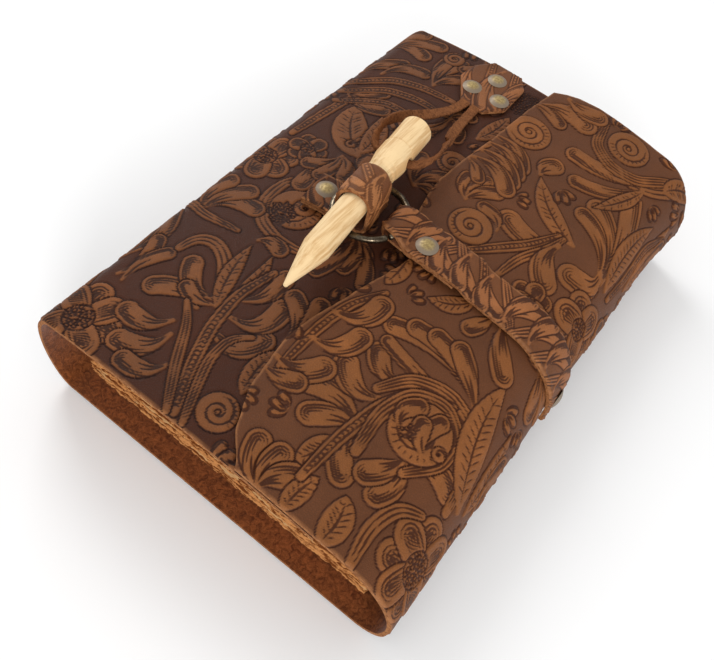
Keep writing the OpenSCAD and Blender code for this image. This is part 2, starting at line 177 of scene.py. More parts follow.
class Tooling:
    """Floral tooling as two maps over the flat leather: how far it is raised and how deep it is cut."""

    STEP = 0.25
    GROOVE = 0.5

    def __init__(self, u0: float, u1: float, v0: float, v1: float, seed: int) -> None:
        self.u0, self.v0, self.u1, self.v1 = u0, v0, u1, v1
        shape = int((u1 - u0) / self.STEP) + 2, int((v1 - v0) / self.STEP) + 2
        self.rise, self.line = np.zeros(shape), np.zeros(shape)
        self.random = np.random.RandomState(seed)

    def window(self, pts: np.ndarray, pad: float) -> Optional[tuple]:
        """Slices and places of the part of the maps within pad of the points."""
        low = np.floor((pts.min(0) - pad - (self.u0, self.v0)) / self.STEP).astype(int)
        high = np.ceil((pts.max(0) + pad - (self.u0, self.v0)) / self.STEP).astype(int)
        low, high = np.maximum(low, 0), np.minimum(high, self.rise.shape)
        if np.any(high <= low):
            return None
        cut = np.s_[low[0] : high[0], low[1] : high[1]]
        grid = np.meshgrid(np.arange(low[0], high[0]), np.arange(low[1], high[1]), indexing="ij")
        return cut, self.u0 + grid[0] * self.STEP, self.v0 + grid[1] * self.STEP

    @staticmethod
    def distance(
        u: np.ndarray, v: np.ndarray, pts: np.ndarray, widths: np.ndarray
    ) -> tuple[np.ndarray, np.ndarray]:
        """Distance from a line of changing width, negative inside, and how far along its nearest place is."""
        best, along = np.hypot(u - pts[0, 0], v - pts[0, 1]) - widths[0], np.zeros(u.shape)
        for k, (a, b, wa, wb) in enumerate(zip(pts[:-1], pts[1:], widths[:-1], widths[1:])):
            d = b - a
            t = np.clip(((u - a[0]) * d[0] + (v - a[1]) * d[1]) / max(d @ d, 1e-9), 0, 1)
            far = np.hypot(u - a[0] - t * d[0], v - a[1] - t * d[1]) - wa - (wb - wa) * t
            along = np.where(far < best, (k + t) / (len(pts) - 1), along)
            best = np.minimum(best, far)
        return best, along

    def lobe(self, pts: np.ndarray, widths: np.ndarray, top: float = 1.0, joined: float = 0.0) -> None:
        """A raised form with a groove round it, which covers what lies under it.

        Args:
            pts, widths: Its middle line and half widths.
            top: Its height.
            joined: First share of its length, over which it grows out of what lies under it.
        """
        found = self.window(pts, float(np.max(widths)) + 1.2)
        if found is None:
            return
        cut, u, v = found
        d, along = self.distance(u, v, pts, widths)
        free = smooth(along / joined) if joined else 1.0
        raised = top * (0.88 * smooth(-d / 0.4) + 0.12 * smooth(-d / 2.0))
        away = 1 - (1 - smooth(d / self.GROOVE)) * free
        self.rise[cut] = np.where(
            d < 0, np.maximum(raised, self.rise[cut] * (1 - free)), self.rise[cut] * away
        )
        groove = smooth(1.15 - np.abs(d - 0.1) / 0.36) * free
        self.line[cut] = np.where(d < -0.26, 0, np.maximum(self.line[cut] * away, groove))

    def stroke(self, pts: np.ndarray, width: float = 0.36, depth: float = 1.0) -> None:
        """A cut line that thins out towards its ends."""
        found = self.window(pts, width + 0.6)
        if found is None:
            return
        cut, u, v = found
        t = np.linspace(0, 1, len(pts))
        widths = width * (0.35 + 0.65 * np.sin(np.pi * np.clip(t, 0.04, 0.96)))
        d = self.distance(u, v, pts, widths)[0]
        self.line[cut] = np.maximum(self.line[cut], depth * smooth(0.5 - d / 0.45))

    @staticmethod
    def bow(a: Point, b: Point, bend: float, n: int = 13) -> np.ndarray:
        """Points of a curve from a to b, bent to its left by that share of its length."""
        a, b = np.array(a, float), np.array(b, float)
        d = b - a
        middle = (a + b) / 2 + bend * 2 * np.array([-d[1], d[0]])
        t = np.linspace(0, 1, n)[:, None]
        return a * (1 - t) ** 2 + 2 * middle * t * (1 - t) + b * t * t

    @staticmethod
    def beside(pts: np.ndarray, offsets: np.ndarray) -> np.ndarray:
        """The line moved to its left by offsets."""
        d = np.gradient(pts, axis=0)
        d /= np.maximum(np.hypot(*d.T), 1e-9)[:, None]
        return pts + np.stack([-d[:, 1], d[:, 0]], 1) * np.asarray(offsets)[:, None]

    def finger(
        self, a: Point, b: Point, bend: float = 0.1, w: float = 2.6, cuts: int = 1, neck: float = 0.25
    ) -> None:
        """A rounded lobe from its narrow foot at a to its tip at b, with comma cuts inside."""
        pts = self.bow(a, b, bend)
        w *= 1.18
        t = np.linspace(0, 1, len(pts))
        widths = w * (neck + (1 - neck) * smooth(t / 0.8))
        self.lobe(pts, widths, 1.0, 0.4)
        side = 1 if bend >= 0 else -1
        d = pts[-1] - pts[-3]
        facing = math.atan2(d[1], d[0])
        for k in range(1 + (w > 2.2) + (w > 3.0)):
            turns = np.linspace(0.75 * math.pi, -0.45 * math.pi, 9) * side
            r = w * (0.62 - 0.24 * k)
            hook = np.stack(
                [pts[-1, 0] + r * np.cos(facing + turns), pts[-1, 1] + r * np.sin(facing + turns)], 1
            )
            tail = self.beside(pts, np.full(13, side * r))[3 + 3 * k : 12]
            self.stroke(np.concatenate([tail, hook[1:]]), 0.34)
        for k in range(cuts):
            share = (k + 0.5) / cuts - 0.75
            self.stroke(self.beside(pts, widths * share * side)[1 : 9 - k % 2], 0.36)

    def leaf(
        self, a: Point, b: Point, bend: float = 0.08, w: float = 4.0, veins: int = 6, saw: bool = False
    ) -> None:
        """A pointed leaf from a to b with a midrib and side veins."""
        pts = self.bow(a, b, bend, 17)
        t = np.linspace(0, 1, len(pts))
        widths = w * np.sin(np.pi * np.clip(t, 0.03, 0.985) ** 0.85) ** 0.8
        self.lobe(pts, widths, 1.0, 0.2)
        self.stroke(pts[1:-2], 0.36)
        for k in range(veins):
            i = int(2 + (len(pts) - 6) * k / max(veins - 1, 1))
            d = pts[i + 1] - pts[i]
            d /= np.hypot(*d)
            for side in (1, -1):
                out = d * 0.8 + side * np.array([-d[1], d[0]])
                reach = widths[i] * (0.62 if side > 0 or not saw else 0.4)
                foot = pts[i] + side * np.array([-d[1], d[0]]) * 0.5
                self.stroke(
                    np.array([foot, foot + out * reach * 0.55 + d * 0.2, foot + out * reach * 0.9]), 0.27
                )

    def bubbles(self, c: Point, r: float, dot: float = 0.62) -> None:
        """A round bed of small beads."""
        count = max(int((r / (dot + 0.32)) ** 2 * 0.86), 3)
        for k in range(count):
            a, d = k * 2.39996, r * math.sqrt((k + 0.5) / count)
            self.lobe(np.array([[c[0] + d * math.cos(a), c[1] + d * math.sin(a)]]), np.array([dot]), 0.9)

    def flower(self, c: Point, r: float, petals: int = 7, turn: float = 0.0, core: float = 0.34) -> None:
        """A flower with a beaded middle and petals with rays."""
        w = r * math.sin(math.pi / petals) * 0.78
        for k in list(range(0, petals, 2)) + list(range(1, petals, 2)):
            a = turn + 2 * math.pi * k / petals
            tip = (c[0] + (r - w) * math.cos(a), c[1] + (r - w) * math.sin(a))
            self.finger(c, tip, 0.03 * (-1) ** k, w, 0, 0.5)
            for j in range(-2, 3):
                b = a + j * 0.28 * math.pi / petals
                far = r * (0.86 - 0.07 * abs(j))
                ray = [
                    (
                        c[0] + d * math.cos(b), c[1] + d * math.sin(b)
                    ) for d in (r * core * 1.15, r * 0.62, far)
                ]
                self.stroke(np.array(ray), 0.3)
        self.lobe(np.array([c], float), np.array([r * core]), 0.75)
        self.bubbles(c, r * core * 0.92)

    def spiral(
        self, c: Point, r: float, turns: float = 2.2, start: float = 0.0, hand: int = 1, ticks: int = 10
    ) -> None:
        """A round scroll with a spiral cut and ticks along its outer turn."""
        self.lobe(np.array([c], float), np.array([r]))
        a = np.linspace(0, 1, int(14 * turns))
        angle = start + hand * 2 * math.pi * turns * a
        d = r * (0.8 - 0.68 * a)
        pts = np.stack([c[0] + d * np.cos(angle), c[1] + d * np.sin(angle)], 1)
        for k in range(0, len(pts) - 5, 5):
            self.stroke(pts[k : k + 7], 0.4)
        self.lobe(np.array([c], float), np.array([r * 0.12]))
        for k in range(ticks):
            b = start + hand * (0.5 + 0.25 * k)
            ray = [(c[0] + e * math.cos(b), c[1] + e * math.sin(b)) for e in (r * 0.7, r * 0.8, r * 0.9)]
            self.stroke(np.array(ray), 0.26)

    def stem(self, pts: Sequence[Point], w: float = 2.2, cuts: int = 2, chevrons: bool = False) -> None:
        """A long band through the points, with lines along it or chevrons across it."""
        p = np.array(pts, float)
        s = np.r_[0, np.cumsum(np.hypot(*np.diff(p, axis=0).T))]
        fine = np.linspace(0, s[-1], max(int(s[-1] / 1.6), 6))
        p = np.stack([np.interp(fine, s, p[:, k]) for k in (0, 1)], 1)
        for _ in range(6):
            p[1:-1] = (p[:-2] + 2 * p[1:-1] + p[2:]) / 4
        t = np.linspace(0, 1, len(p))
        widths = w * (0.45 + 0.55 * np.sin(np.pi * (0.12 + 0.8 * t)))
        self.lobe(p, widths)
        for k in range(cuts):
            share = ((k + 1) / (cuts + 1) * 2 - 1) * (1.25 if chevrons else 1.0)
            side = self.beside(p, widths * share)
            for i in range(1, len(p) - 4, 6):
                self.stroke(side[i : i + 8], 0.33)
        if chevrons:
            for i in range(1, len(p) - 2):
                d = p[i + 1] - p[i]
                n = np.array([-d[1], d[0]]) / max(np.hypot(*d), 1e-9) * widths[i] * 0.36
                self.stroke(np.array([p[i] + n, p[i] + d * 0.55, p[i] - n]), 0.26)

    def spray(
        self, foot: Point, tips: Iterable[Point], w: float, bend: float = 0.15, cuts: int = 1
    ) -> None:
        """Lobes that fan out from one foot."""
        for k, tip in enumerate(tips):
            self.finger(foot, tip, bend * (1 if k % 2 == 0 else 0.6), w, cuts)

    def fill(self, tries: int, clear: float = 3.1) -> None:
        """Small sprigs in what ground is left."""
        for _ in range(tries):
            c = np.array([self.random.uniform(self.u0, self.u1), self.random.uniform(self.v0, self.v1)])
            found = self.window(c[None], clear)
            a, size = self.random.uniform(0, 2 * math.pi), self.random.uniform(2.4, 3.3)
            if found is None or self.rise[found[0]].max() > 0.05:
                continue
            foot = c - size * np.array([math.cos(a), math.sin(a)])
            for turn in (0.75, -0.75, 0.0):
                tip = foot + size * 1.75 * np.array([math.cos(a + turn), math.sin(a + turn)])
                self.finger(tuple(foot), tuple(tip), 0.14 * (1 if turn >= 0 else -1), size * 0.42, 1)

    def sample(self, u: np.ndarray, v: np.ndarray) -> tuple[np.ndarray, np.ndarray]:
        """Rise and line at places on the leather."""
        x = np.clip((u - self.u0) / self.STEP, 0, self.rise.shape[0] - 1.001)
        y = np.clip((v - self.v0) / self.STEP, 0, self.rise.shape[1] - 1.001)
        i, j = x.astype(int), y.astype(int)
        fx, fy = x - i, y - j
        out = []
        for m in (self.rise, self.line):
            low = m[i, j] * (1 - fx) + m[i + 1, j] * fx
            high = m[i, j + 1] * (1 - fx) + m[i + 1, j + 1] * fx
            out.append(low * (1 - fy) + high * fy)
        return out[0], out[1]


def front_tooling() -> Tooling:
    """The front cover's pattern, its spine side included."""
    t = Tooling(-86, 40, -103, 103, 5)
    # near end: flower and the great acanthus
    t.stem([(-86, -60), (-74, -72), (-66, -84), (-62, -100)], 2.2)
    t.spray((-66, -70), [(-80, -52), (-76, -46), (-68, -44)], 3.0, -0.2, 2)
    t.flower((-56, -95), 14, 8, 0.2)
    t.finger((-60, -76), (-60.5, -58), -0.12, 2.6, 2)
    t.finger((-57, -77), (-54, -60), 0.12, 2.4, 1)
    t.finger((-34, -78), (-47, -84), 0.2, 3.2, 2)
    t.finger((-31, -82), (-41, -93), 0.22, 3.4, 2)
    t.finger((-24, -90), (-35, -97), 0.2, 3.0, 2)
    t.finger((-32, -70), (-48, -72), -0.2, 3.4, 2)
    t.finger((-30, -64), (-45, -58), 0.22, 3.2, 2)
    t.finger((-29, -66), (-40, -66), 0.15, 2.4, 1)
    t.stem([(-28, -64), (-38, -50), (-46, -46), (-52, -49), (-53, -56)], 2.7)
    t.leaf((-28, -66), (-36, -40), 0.05, 3.2, 8)
    t.leaf((-26, -62), (-28, -39), -0.06, 2.6, 7)
    t.finger((-24, -72), (-9, -66), -0.3, 3.6, 2)
    t.finger((-23, -66), (-12, -53), -0.3, 3.4, 2)
    t.finger((-25, -60), (-19, -43), -0.18, 2.8, 2)
    t.stem([(-12, -100), (-19, -86), (-24, -72), (-26, -58), (-23, -44)], 2.3, 2, True)
    t.stem([(-14, -101), (-23, -88), (-30, -76), (-36, -70)], 1.9)
    t.stem([(-8, -101), (-13, -90), (-17, -80), (-17, -71), (-12, -67)], 1.8)
    t.spiral((-3, -92), 6.4, 1.7, 2.0, -1, 8)
    t.leaf((-2, -83), (-4, -66), 0.05, 3.6, 7, True)
    t.spray((-4, -62), [(-12, -47), (-4, -44), (3, -48)], 3.0, -0.18, 2)
    # middle: medallion with its band, side flower and broad leaves
    t.stem([(-20, -31), (-30, -33), (-41, -30), (-47, -21), (-47, -10), (-41, -2)], 2.6, 2)
    t.spiral((-35.5, -18), 9.2, 1.1, 3.6, 1, 12)
    t.bubbles((-38, -22), 5.2, 0.5)
    t.spiral((-33.5, -15.5), 3.9, 1.2, 0.5, 1, 12)
    t.spray((-14, -13), [(-4, -22), (1, -28), (-8, -27), (-14, -34)], 2.6, 0.16, 2)
    t.finger((-36, -37), (-28, -35.5), 0.2, 2.8, 2)
    t.spray((-60, -38), [(-46, -27), (-53, -22), (-62, -22)], 3.2, 0.2, 2)
    t.stem([(-86, -34), (-72, -36), (-58, -40), (-44, -38)], 2.0)
    t.flower((-61, -4), 12, 7, 0.5)
    t.finger((-46, 2), (-42, -7), 0.1, 3.2, 2)
    t.flower((-52, 9), 7.5, 6, 0.1)
    t.spray((-40, 14), [(-47, 3), (-40, 1), (-33, 6)], 2.7, 0.15, 1)
    t.finger((-28, 12), (-33, 20), 0.15, 2.6, 1)
    t.leaf((-36, 18), (-53, 41), 0.1, 7.2, 9)
    t.leaf((-36, 20), (-42, 42), -0.08, 4.4, 8)
    t.spiral((-41.5, 21.5), 2.2, 1.0, 0, 1, 0)
    t.stem([(-62, 12), (-60, 30), (-58, 44), (-50, 52)], 2.2, 2, True)
    t.spray((-62, 46), [(-44, 45), (-50, 54)], 3.0, -0.15, 2)
    # far end: feathers and curls
    t.stem([(-64, 44), (-50, 57), (-38, 60), (-24, 60)], 2.2, 2, True)
    t.stem([(-66, 50), (-52, 64), (-40, 68), (-26, 69)], 2.3, 2, True)
    t.stem([(-62, 38), (-46, 50), (-36, 50), (-22, 47)], 2.0, 2, True)
    t.finger((-66, 60), (-55, 75), 0.1, 3.2, 2)
    t.finger((-58, 64), (-45, 76), 0.2, 3.0, 2)
    t.spray((-38, 72), [(-36, 92), (-42, 89), (-30, 84)], 2.8, 0.12, 2)
    t.spiral((-41, 93), 4.6, 1.6, 1.0, 1, 7)
    t.spray((-68, 82), [(-52, 86), (-50, 96), (-60, 99)], 3.2, 0.2, 2)
    t.finger((-30, 101), (-34, 90), 0.2, 2.4, 1)
    t.leaf((-8, 58), (-5, 78), -0.06, 4.0, 8)
    t.spiral((-8, 40), 6.2, 1.7, 2.5, 1, 10)
    t.spray((-12, 20), [(-4, 32), (-18, 34), (-2, 22)], 2.8, 0.2, 2)
    t.spray((-22, 60), [(-14, 52), (-28, 44), (-16, 66)], 2.6, 0.2, 1)
    t.bubbles((-4, 90), 7.5, 0.5)
    for v in (-88, -20, 30, 70):
        t.spray((-84, v), [(-74, v + 9), (-70, v + 1), (-76, v - 8)], 3.2, 0.18, 2)
    t.fill(900)
    return t


def flap_tooling() -> Tooling:
    """The flap's and the fold's pattern."""
    t = Tooling(-9, 90, -103, 112, 9)
    # near half: great scroll with its fingers
    t.flower((70, -88), 15, 8, 0.35, 0.36)
    t.stem([(52, -102), (50, -90), (53, -80), (60, -77)], 2.4)
    t.spray((20, -102), [(12, -92), (19, -91), (26, -93)], 3.4, 0.12, 3)
    t.leaf((29, -102), (31, -89), 0.05, 3.4, 6)
    t.leaf((42, -102), (40, -88), -0.1, 4.6, 6)
    t.leaf((27, -78), (23, -89), 0.06, 4.2, 6)
    t.spray((30, -70), [(11, -68), (17, -76), (35, -84)], 3.4, -0.16, 2)
    t.finger((30, -58), (15, -56), 0.24, 3.6, 2)
    t.finger((31, -50), (20, -46), 0.2, 3.2, 2)
    t.spray((46, -68), [(46, -82), (40, -79), (62, -66)], 3.3, 0.16, 3)
    for tip, bend in (((18, -35), -0.16), ((24, -30.5), -0.14), ((31, -28.5), -0.1), ((39, -27), -0.02)):
        t.finger((54, -41), tip, bend, 3.1, 2)
    t.finger((52, -43), (20, -41), 0.05, 2.2, 1)
    t.stem([(66, -70), (64, -56), (56, -46), (44, -42), (33, -46), (27, -56)], 2.9, 3)
    t.stem([(27, -92), (28, -76), (31, -60), (37, -48), (48, -45)], 2.3, 2, True)
    t.stem([(34, -76), (32, -62), (36, -50), (46, -46), (55, -52), (56, -62), (48, -72)], 2.7, 3)
    t.spiral((45, -58.5), 10.2, 1.15, 2.7, 1, 12)
    t.finger((40, -62), (40, -52), 0.3, 2.6, 2)
    t.spray((50, -64), [(48, -52), (44, -56)], 2.6, 0.2, 1)
    t.bubbles((42, -61), 2.6, 0.5)
    t.spiral((53, -60), 2.4, 0.9, 0, 1, 0)
    t.leaf((70, -66), (57, -26), 0.1, 6.0, 11)
    t.leaf((74, -64), (70, -34), -0.05, 4.0, 9)
    t.finger((80, -60), (77, -42), 0.1, 3.4, 2)
    t.finger((44, -8), (54, -24), -0.08, 3.6, 3)
    t.finger((40, -9), (36.5, -18), 0.05, 2.8, 1)
    t.leaf((32, -9), (20, -18.5), 0.12, 3.4, 7)
    t.spray((64, -10), [(58, -6), (72, -22), (80, -16)], 3.6, 0.1, 2)
    t.stem([(1, -70), (1, -52), (3, -38), (9, -27)], 2.0, 2, True)
    t.finger((1, -44), (11, -32), -0.22, 3.6, 3)
    t.finger((2, -56), (13, -46), -0.22, 3.4, 2)
    t.finger((-2, -68), (11, -62), -0.2, 3.6, 3)
    t.finger((-2, -73), (8, -71), -0.1, 3.0, 2)
    t.leaf((6, -10), (6.5, -24), 0.05, 3.6, 4)
    # far half: spirals, fans and feathers
    t.spray((62, 34), [(45, 61), (53, 76)], 4.2, -0.12, 3)
    t.leaf((66, 36), (67, 78), 0.06, 4.6, 12)
    t.finger((60, 36), (42, 54), -0.14, 3.2, 2)
    t.leaf((46, 38), (21, 57), 0.1, 4.6, 9, True)
    t.finger((42, 36), (23, 30), 0.24, 4.2, 2)
    t.finger((60, 38), (52, 26), 0.3, 4.6, 2)
    t.stem([(18, 6), (26, 16), (34, 26), (40, 38)], 2.2, 2, True)
    t.stem([(32, 6), (34, 18), (40, 30), (42, 38)], 1.9, 2)
    t.finger((42, 34), (46, 16), -0.16, 4.2, 3)
    t.flower((67, 15), 13, 6, 0.2, 0.3)
    t.flower((46, 6), 8, 6, 0.6, 0.22)
    t.flower((84, 30), 9, 6, 0.1, 0.3)
    t.spiral((14, 17), 8.2, 1.7, 2.4, 1, 8)
    t.spray((6, 26), [(1, 36), (7, 39), (13, 37)], 2.7, 0.12, 2)
    t.finger((22, 22), (13, 28), -0.24, 2.4, 1)
    t.spray((-4, 44), [(-4, 56), (4, 38)], 2.4, 0.15, 1)
    for k in range(4):
        t.finger((-4, 62 - 5.4 * k), (13 + 0.5 * k, 55 - 4.6 * k), 0.2, 3.3, 2)
    t.spiral((5.5, 74), 9.2, 2.1, 4.0, 1, 13)
    t.finger((20, 58), (22, 66), 0.15, 3.6, 2)
    t.stem([(70, 104), (62, 94), (56, 86), (46, 82), (34, 84)], 2.6, 2)
    t.finger((56, 90), (25, 78), 0.1, 3.4, 2)
    t.finger((54, 86), (32, 66), 0.14, 3.0, 2)
    t.leaf((54, 84), (43, 60), 0.06, 3.2, 8)
    t.stem([(60, 98), (50, 86), (38, 84), (28, 90), (26, 104)], 2.9, 3)
    t.spiral((39.5, 99), 9.0, 2.0, 0.6, -1, 12)
    t.finger((2, 92), (20, 96), 0.14, 4.6, 2)
    t.finger((-2, 90), (12, 88), 0.1, 2.8, 1)
    t.finger((8, 104), (22, 104), -0.12, 4.0, 2)
    t.leaf((60, 92), (74, 108), 0.1, 4.4, 8)
    t.leaf((76, 50), (74, 90), -0.05, 5.0, 12)
    t.stem([(70, 36), (72, 52), (71, 70), (76, 84)], 2.0, 2, True)
    t.spray((84, 60), [(86, 80), (80, 84)], 3.0, 0.12, 2)
    t.fill(900)
    return t


def back_tooling() -> Tooling:
    """The back's pattern, by length from the foot of the fold."""
    t = Tooling(-1, 168, -103, 103, 13)
    for k, (u, v) in enumerate(
        [(30, -70), (95, -84), (140, -40), (40, 10), (100, -10), (60, 76), (125, 62), (14, 50)]
    ):
        t.flower((u, v), 12, 7, 0.4 * k)
        t.stem([(u + 14, v - 6), (u + 26, v + 2), (u + 32, v + 18), (u + 24, v + 34)], 2.4, 2, k % 2 == 0)
        t.spray((u + 28, v + 22), [(u + 42, v + 18), (u + 40, v + 30), (u + 26, v + 38)], 3.6, 0.2, 2)
        t.leaf((u - 2, v + 16), (u - 14, v + 36), 0.1, 4.6, 8)
        t.spiral((u + 10, v + 26), 6.5, 1.7, k, 1 if k % 2 else -1, 9)
    t.fill(1500)
    return t


def small_tooling(length: float, width: float, seed: int) -> Tooling:
    """Cut-off stems and leaves for a narrow strip."""
    t = Tooling(-1, length + 1, -width / 2 - 1, width / 2 + 1, seed)
    u = 2.0
    while u < length:
        side = 1 if t.random.rand() > 0.5 else -1
        t.spray(
            (u, -side * width * 0.4), [(u + 9, side * width * 0.34), (u + 3, side * width * 0.42)], 2.6,
            0.2 * side, 2
        )
        t.stem(
            [(u + 3, -side * width * 0.6), (u + 9, -side * 2), (u + 16, side * width * 0.5)], 1.8, 2,
            t.random.rand() > 0.5
        )
        u += t.random.uniform(9, 13)
    t.fill(120, 2.4)
    return t


# ---------------------------------------------------------------- mesh making


def new_mesh(
    name: str, points: np.ndarray, faces: list, kinds: Optional[np.ndarray] = None
) -> bpy.types.Object:
    """An object at the origin from points in millimetres, smooth, with its faces pointing outwards."""
    mesh = bpy.data.meshes.new(name)
    mesh.from_pydata((np.asarray(points) * MM).tolist(), [], faces)
    if kinds is not None:
        mesh.polygons.foreach_set("material_index", np.asarray(kinds, np.int32))
    obj = bpy.data.objects.new(name, mesh)
    bpy.context.scene.collection.objects.link(obj)
    bpy.ops.object.select_all(action="DESELECT")
    bpy.context.view_layer.objects.active = obj
    obj.select_set(True)
    bpy.ops.object.mode_set(mode="EDIT")
    bpy.ops.mesh.select_all(action="SELECT")
    bpy.ops.mesh.normals_make_consistent(inside=False)
    bpy.ops.object.mode_set(mode="OBJECT")
    bpy.ops.object.shade_smooth()
    obj.select_set(False)
    LOG.info("%s: %d points, %d faces", name, len(mesh.vertices), len(mesh.polygons))
    return obj


def add_value(obj: bpy.types.Object, name: str, values: np.ndarray) -> None:
    """A float for each point of the mesh, which its material reads by name."""
    made = obj.data.attributes.new(name, "FLOAT", "POINT")
    full = np.zeros(len(obj.data.vertices), np.float32)
    full[: len(values)] = values
    made.data.foreach_set("value", full)


def zipped(a: np.ndarray, b: np.ndarray, points: np.ndarray) -> list[tuple[int, int, int]]:
    """Triangles between two chains of points that start and end beside each other."""

    def share(chain: np.ndarray) -> np.ndarray:
        s = np.r_[0, np.cumsum(np.linalg.norm(np.diff(points[chain], axis=0), axis=1))]
        return s / s[-1]

    sa, sb = share(a), share(b)
    i = j = 0
    out = []
    while i < len(a) - 1 or j < len(b) - 1:
        if j == len(b) - 1 or (i < len(a) - 1 and sa[i + 1] <= sb[j + 1]):
            out.append((int(a[i]), int(a[i + 1]), int(b[j])))
            i += 1
        else:
            out.append((int(a[i]), int(b[j + 1]), int(b[j])))
            j += 1
    return out


def grid_faces(index: np.ndarray, flip: bool) -> np.ndarray:
    """Quads of a grid of point numbers."""
    quads = np.stack([index[:-1, :-1], index[1:, :-1], index[1:, 1:], index[:-1, 1:]], -1).reshape(-1, 4)
    return quads[:, ::-1] if flip else quads


def shell(name: str, outer: np.ndarray, inner: np.ndarray) -> bpy.types.Object:
    """A closed sheet from two grids of points, each (along, across, 3), with cut edges between them.

    Args:
        name: The piece's name.
        outer: The grain side, seen from outside.
        inner: The flesh side, which may be a coarser grid on the same outline.
    Returns:
        The object, with material slots 0 grain, 1 cut edge and 2 flesh side.
    """
    a = np.arange(outer.shape[0] * outer.shape[1]).reshape(outer.shape[:2])
    b = a.size + np.arange(inner.shape[0] * inner.shape[1]).reshape(inner.shape[:2])
    points = np.concatenate([outer.reshape(-1, 3), inner.reshape(-1, 3)])
    faces = grid_faces(a, False).tolist()
    kinds = [0] * len(faces)
    low = grid_faces(b, True).tolist()
    walls = []
    for left, right in (
        (a[:, 0], b[:, 0]), (a[::-1, -1], b[::-1, -1]), (a[-1, :], b[-1, :]), (a[0, ::-1], b[0, ::-1])
    ):
        walls += zipped(left, right, points)
    faces += low + walls
    kinds += [2] * len(low) + [1] * len(walls)
    obj = new_mesh(name, points, faces, np.array(kinds))
    rim = np.zeros(len(points), bool)
    for chain in (a[:, 0], a[:, -1], a[0], a[-1], b[:, 0], b[:, -1], b[0], b[-1]):
        rim[chain] = True
    ends = np.zeros(2 * len(obj.data.edges), np.int32)
    obj.data.edges.foreach_get("vertices", ends)
    ends = ends.reshape(-1, 2)
    grain = ends < a.size
    sharp = rim[ends].all(1) & (grain[:, 0] == grain[:, 1])
    mark = obj.data.attributes.new("sharp_edge", "BOOLEAN", "EDGE")
    mark.data.foreach_set("value", sharp)
    return obj


def tube(name: str, centre: np.ndarray, rings: np.ndarray) -> bpy.types.Object:
    """A closed tube from rings of points, (stations, around, 3), with a point in the middle of each end."""
    n, m = rings.shape[:2]
    points = np.concatenate([rings.reshape(-1, 3), centre[[0, -1]]])
    index = np.arange(n * m).reshape(n, m)
    faces = grid_faces(np.concatenate([index, index[:, :1]], 1), False).tolist()
    for k in range(m):
        faces.append((n * m, int(index[0, (k + 1) % m]), int(index[0, k])))
        faces.append((n * m + 1, int(index[-1, k]), int(index[-1, (k + 1) % m])))
    return new_mesh(name, points, faces)


# ---------------------------------------------------------------- finishes


class Net:
    """Short ways to add and join shader nodes."""

    def __init__(self, tree: bpy.types.NodeTree) -> None:
        self.tree = tree

    def add(self, kind: str, settings: Optional[dict] = None, **inputs: object) -> bpy.types.Node:
        """A node with its settings, and inputs given as values or sockets; a name's _ stands for a space."""
        node = self.tree.nodes.new(kind)
        for key, value in (settings or {}).items():
            setattr(node, key, value)
        for key, value in inputs.items():
            numbered = key[0] == "i" and key[1:].isdigit()
            socket = node.inputs[int(key[1:]) if numbered else key.replace("_", " ")]
            if isinstance(value, bpy.types.NodeSocket):
                self.tree.links.new(value, socket)
            else:
                socket.default_value = value
        return node

    def join(self, value: bpy.types.NodeSocket, node: bpy.types.Node, name: str) -> None:
        """Links a value to a node's input of that name."""
        self.tree.links.new(value, node.inputs[name])

    def math(self, operation: str, a: object, b: object = 0.0, clamp: bool = False) -> bpy.types.NodeSocket:
        """Result of a math node."""
        return self.add(
            "ShaderNodeMath", {"operation": operation, "use_clamp": clamp}, i0=a, i1=b
        ).outputs[0]

    def mix(self, share: object, a: object, b: object, blend: str = "MIX") -> bpy.types.NodeSocket:
        """A colour from a to b."""
        node = self.add("ShaderNodeMix", {"data_type": "RGBA", "blend_type": blend}, i0=share, i6=a, i7=b)
        return node.outputs[2]

    def ramp(self, value: object, low: float, high: float) -> bpy.types.NodeSocket:
        """value taken from low..high to 0..1."""
        return self.add(
            "ShaderNodeMapRange", {"interpolation_type": "SMOOTHSTEP"}, Value=value, From_Min=low,
            From_Max=high
        ).outputs[0]

    def noise(
        self, place: object, scale: float, detail: float = 3.0, rough: float = 0.55
    ) -> bpy.types.NodeSocket:
        """A noise texture's value."""
        return self.add(
            "ShaderNodeTexNoise", None, Vector=place, Scale=scale, Detail=detail, Roughness=rough
        ).outputs[0]

    def value(self, name: str) -> bpy.types.NodeSocket:
        """A point value of the mesh by name."""
        return self.add("ShaderNodeAttribute", {"attribute_name": name}).outputs["Fac"]


def group(
    name: str, outputs: dict[str, str], fill: Callable[[Net, bpy.types.Node, bpy.types.Node], None]
) -> bpy.types.NodeTree:
    """A node group, made once, with a Scale and a Strength input."""
    found = bpy.data.node_groups.get(name)
    if found:
        return found
    tree = bpy.data.node_groups.new(name, "ShaderNodeTree")
    for key in ("Scale", "Strength"):
        tree.interface.new_socket(
            name=key, in_out="INPUT", socket_type="NodeSocketFloat"
        ).default_value = 1.0
    for key, kind in outputs.items():
        tree.interface.new_socket(name=key, in_out="OUTPUT", socket_type=kind)
    net = Net(tree)
    fill(net, net.add("NodeGroupInput"), net.add("NodeGroupOutput"))
    return tree


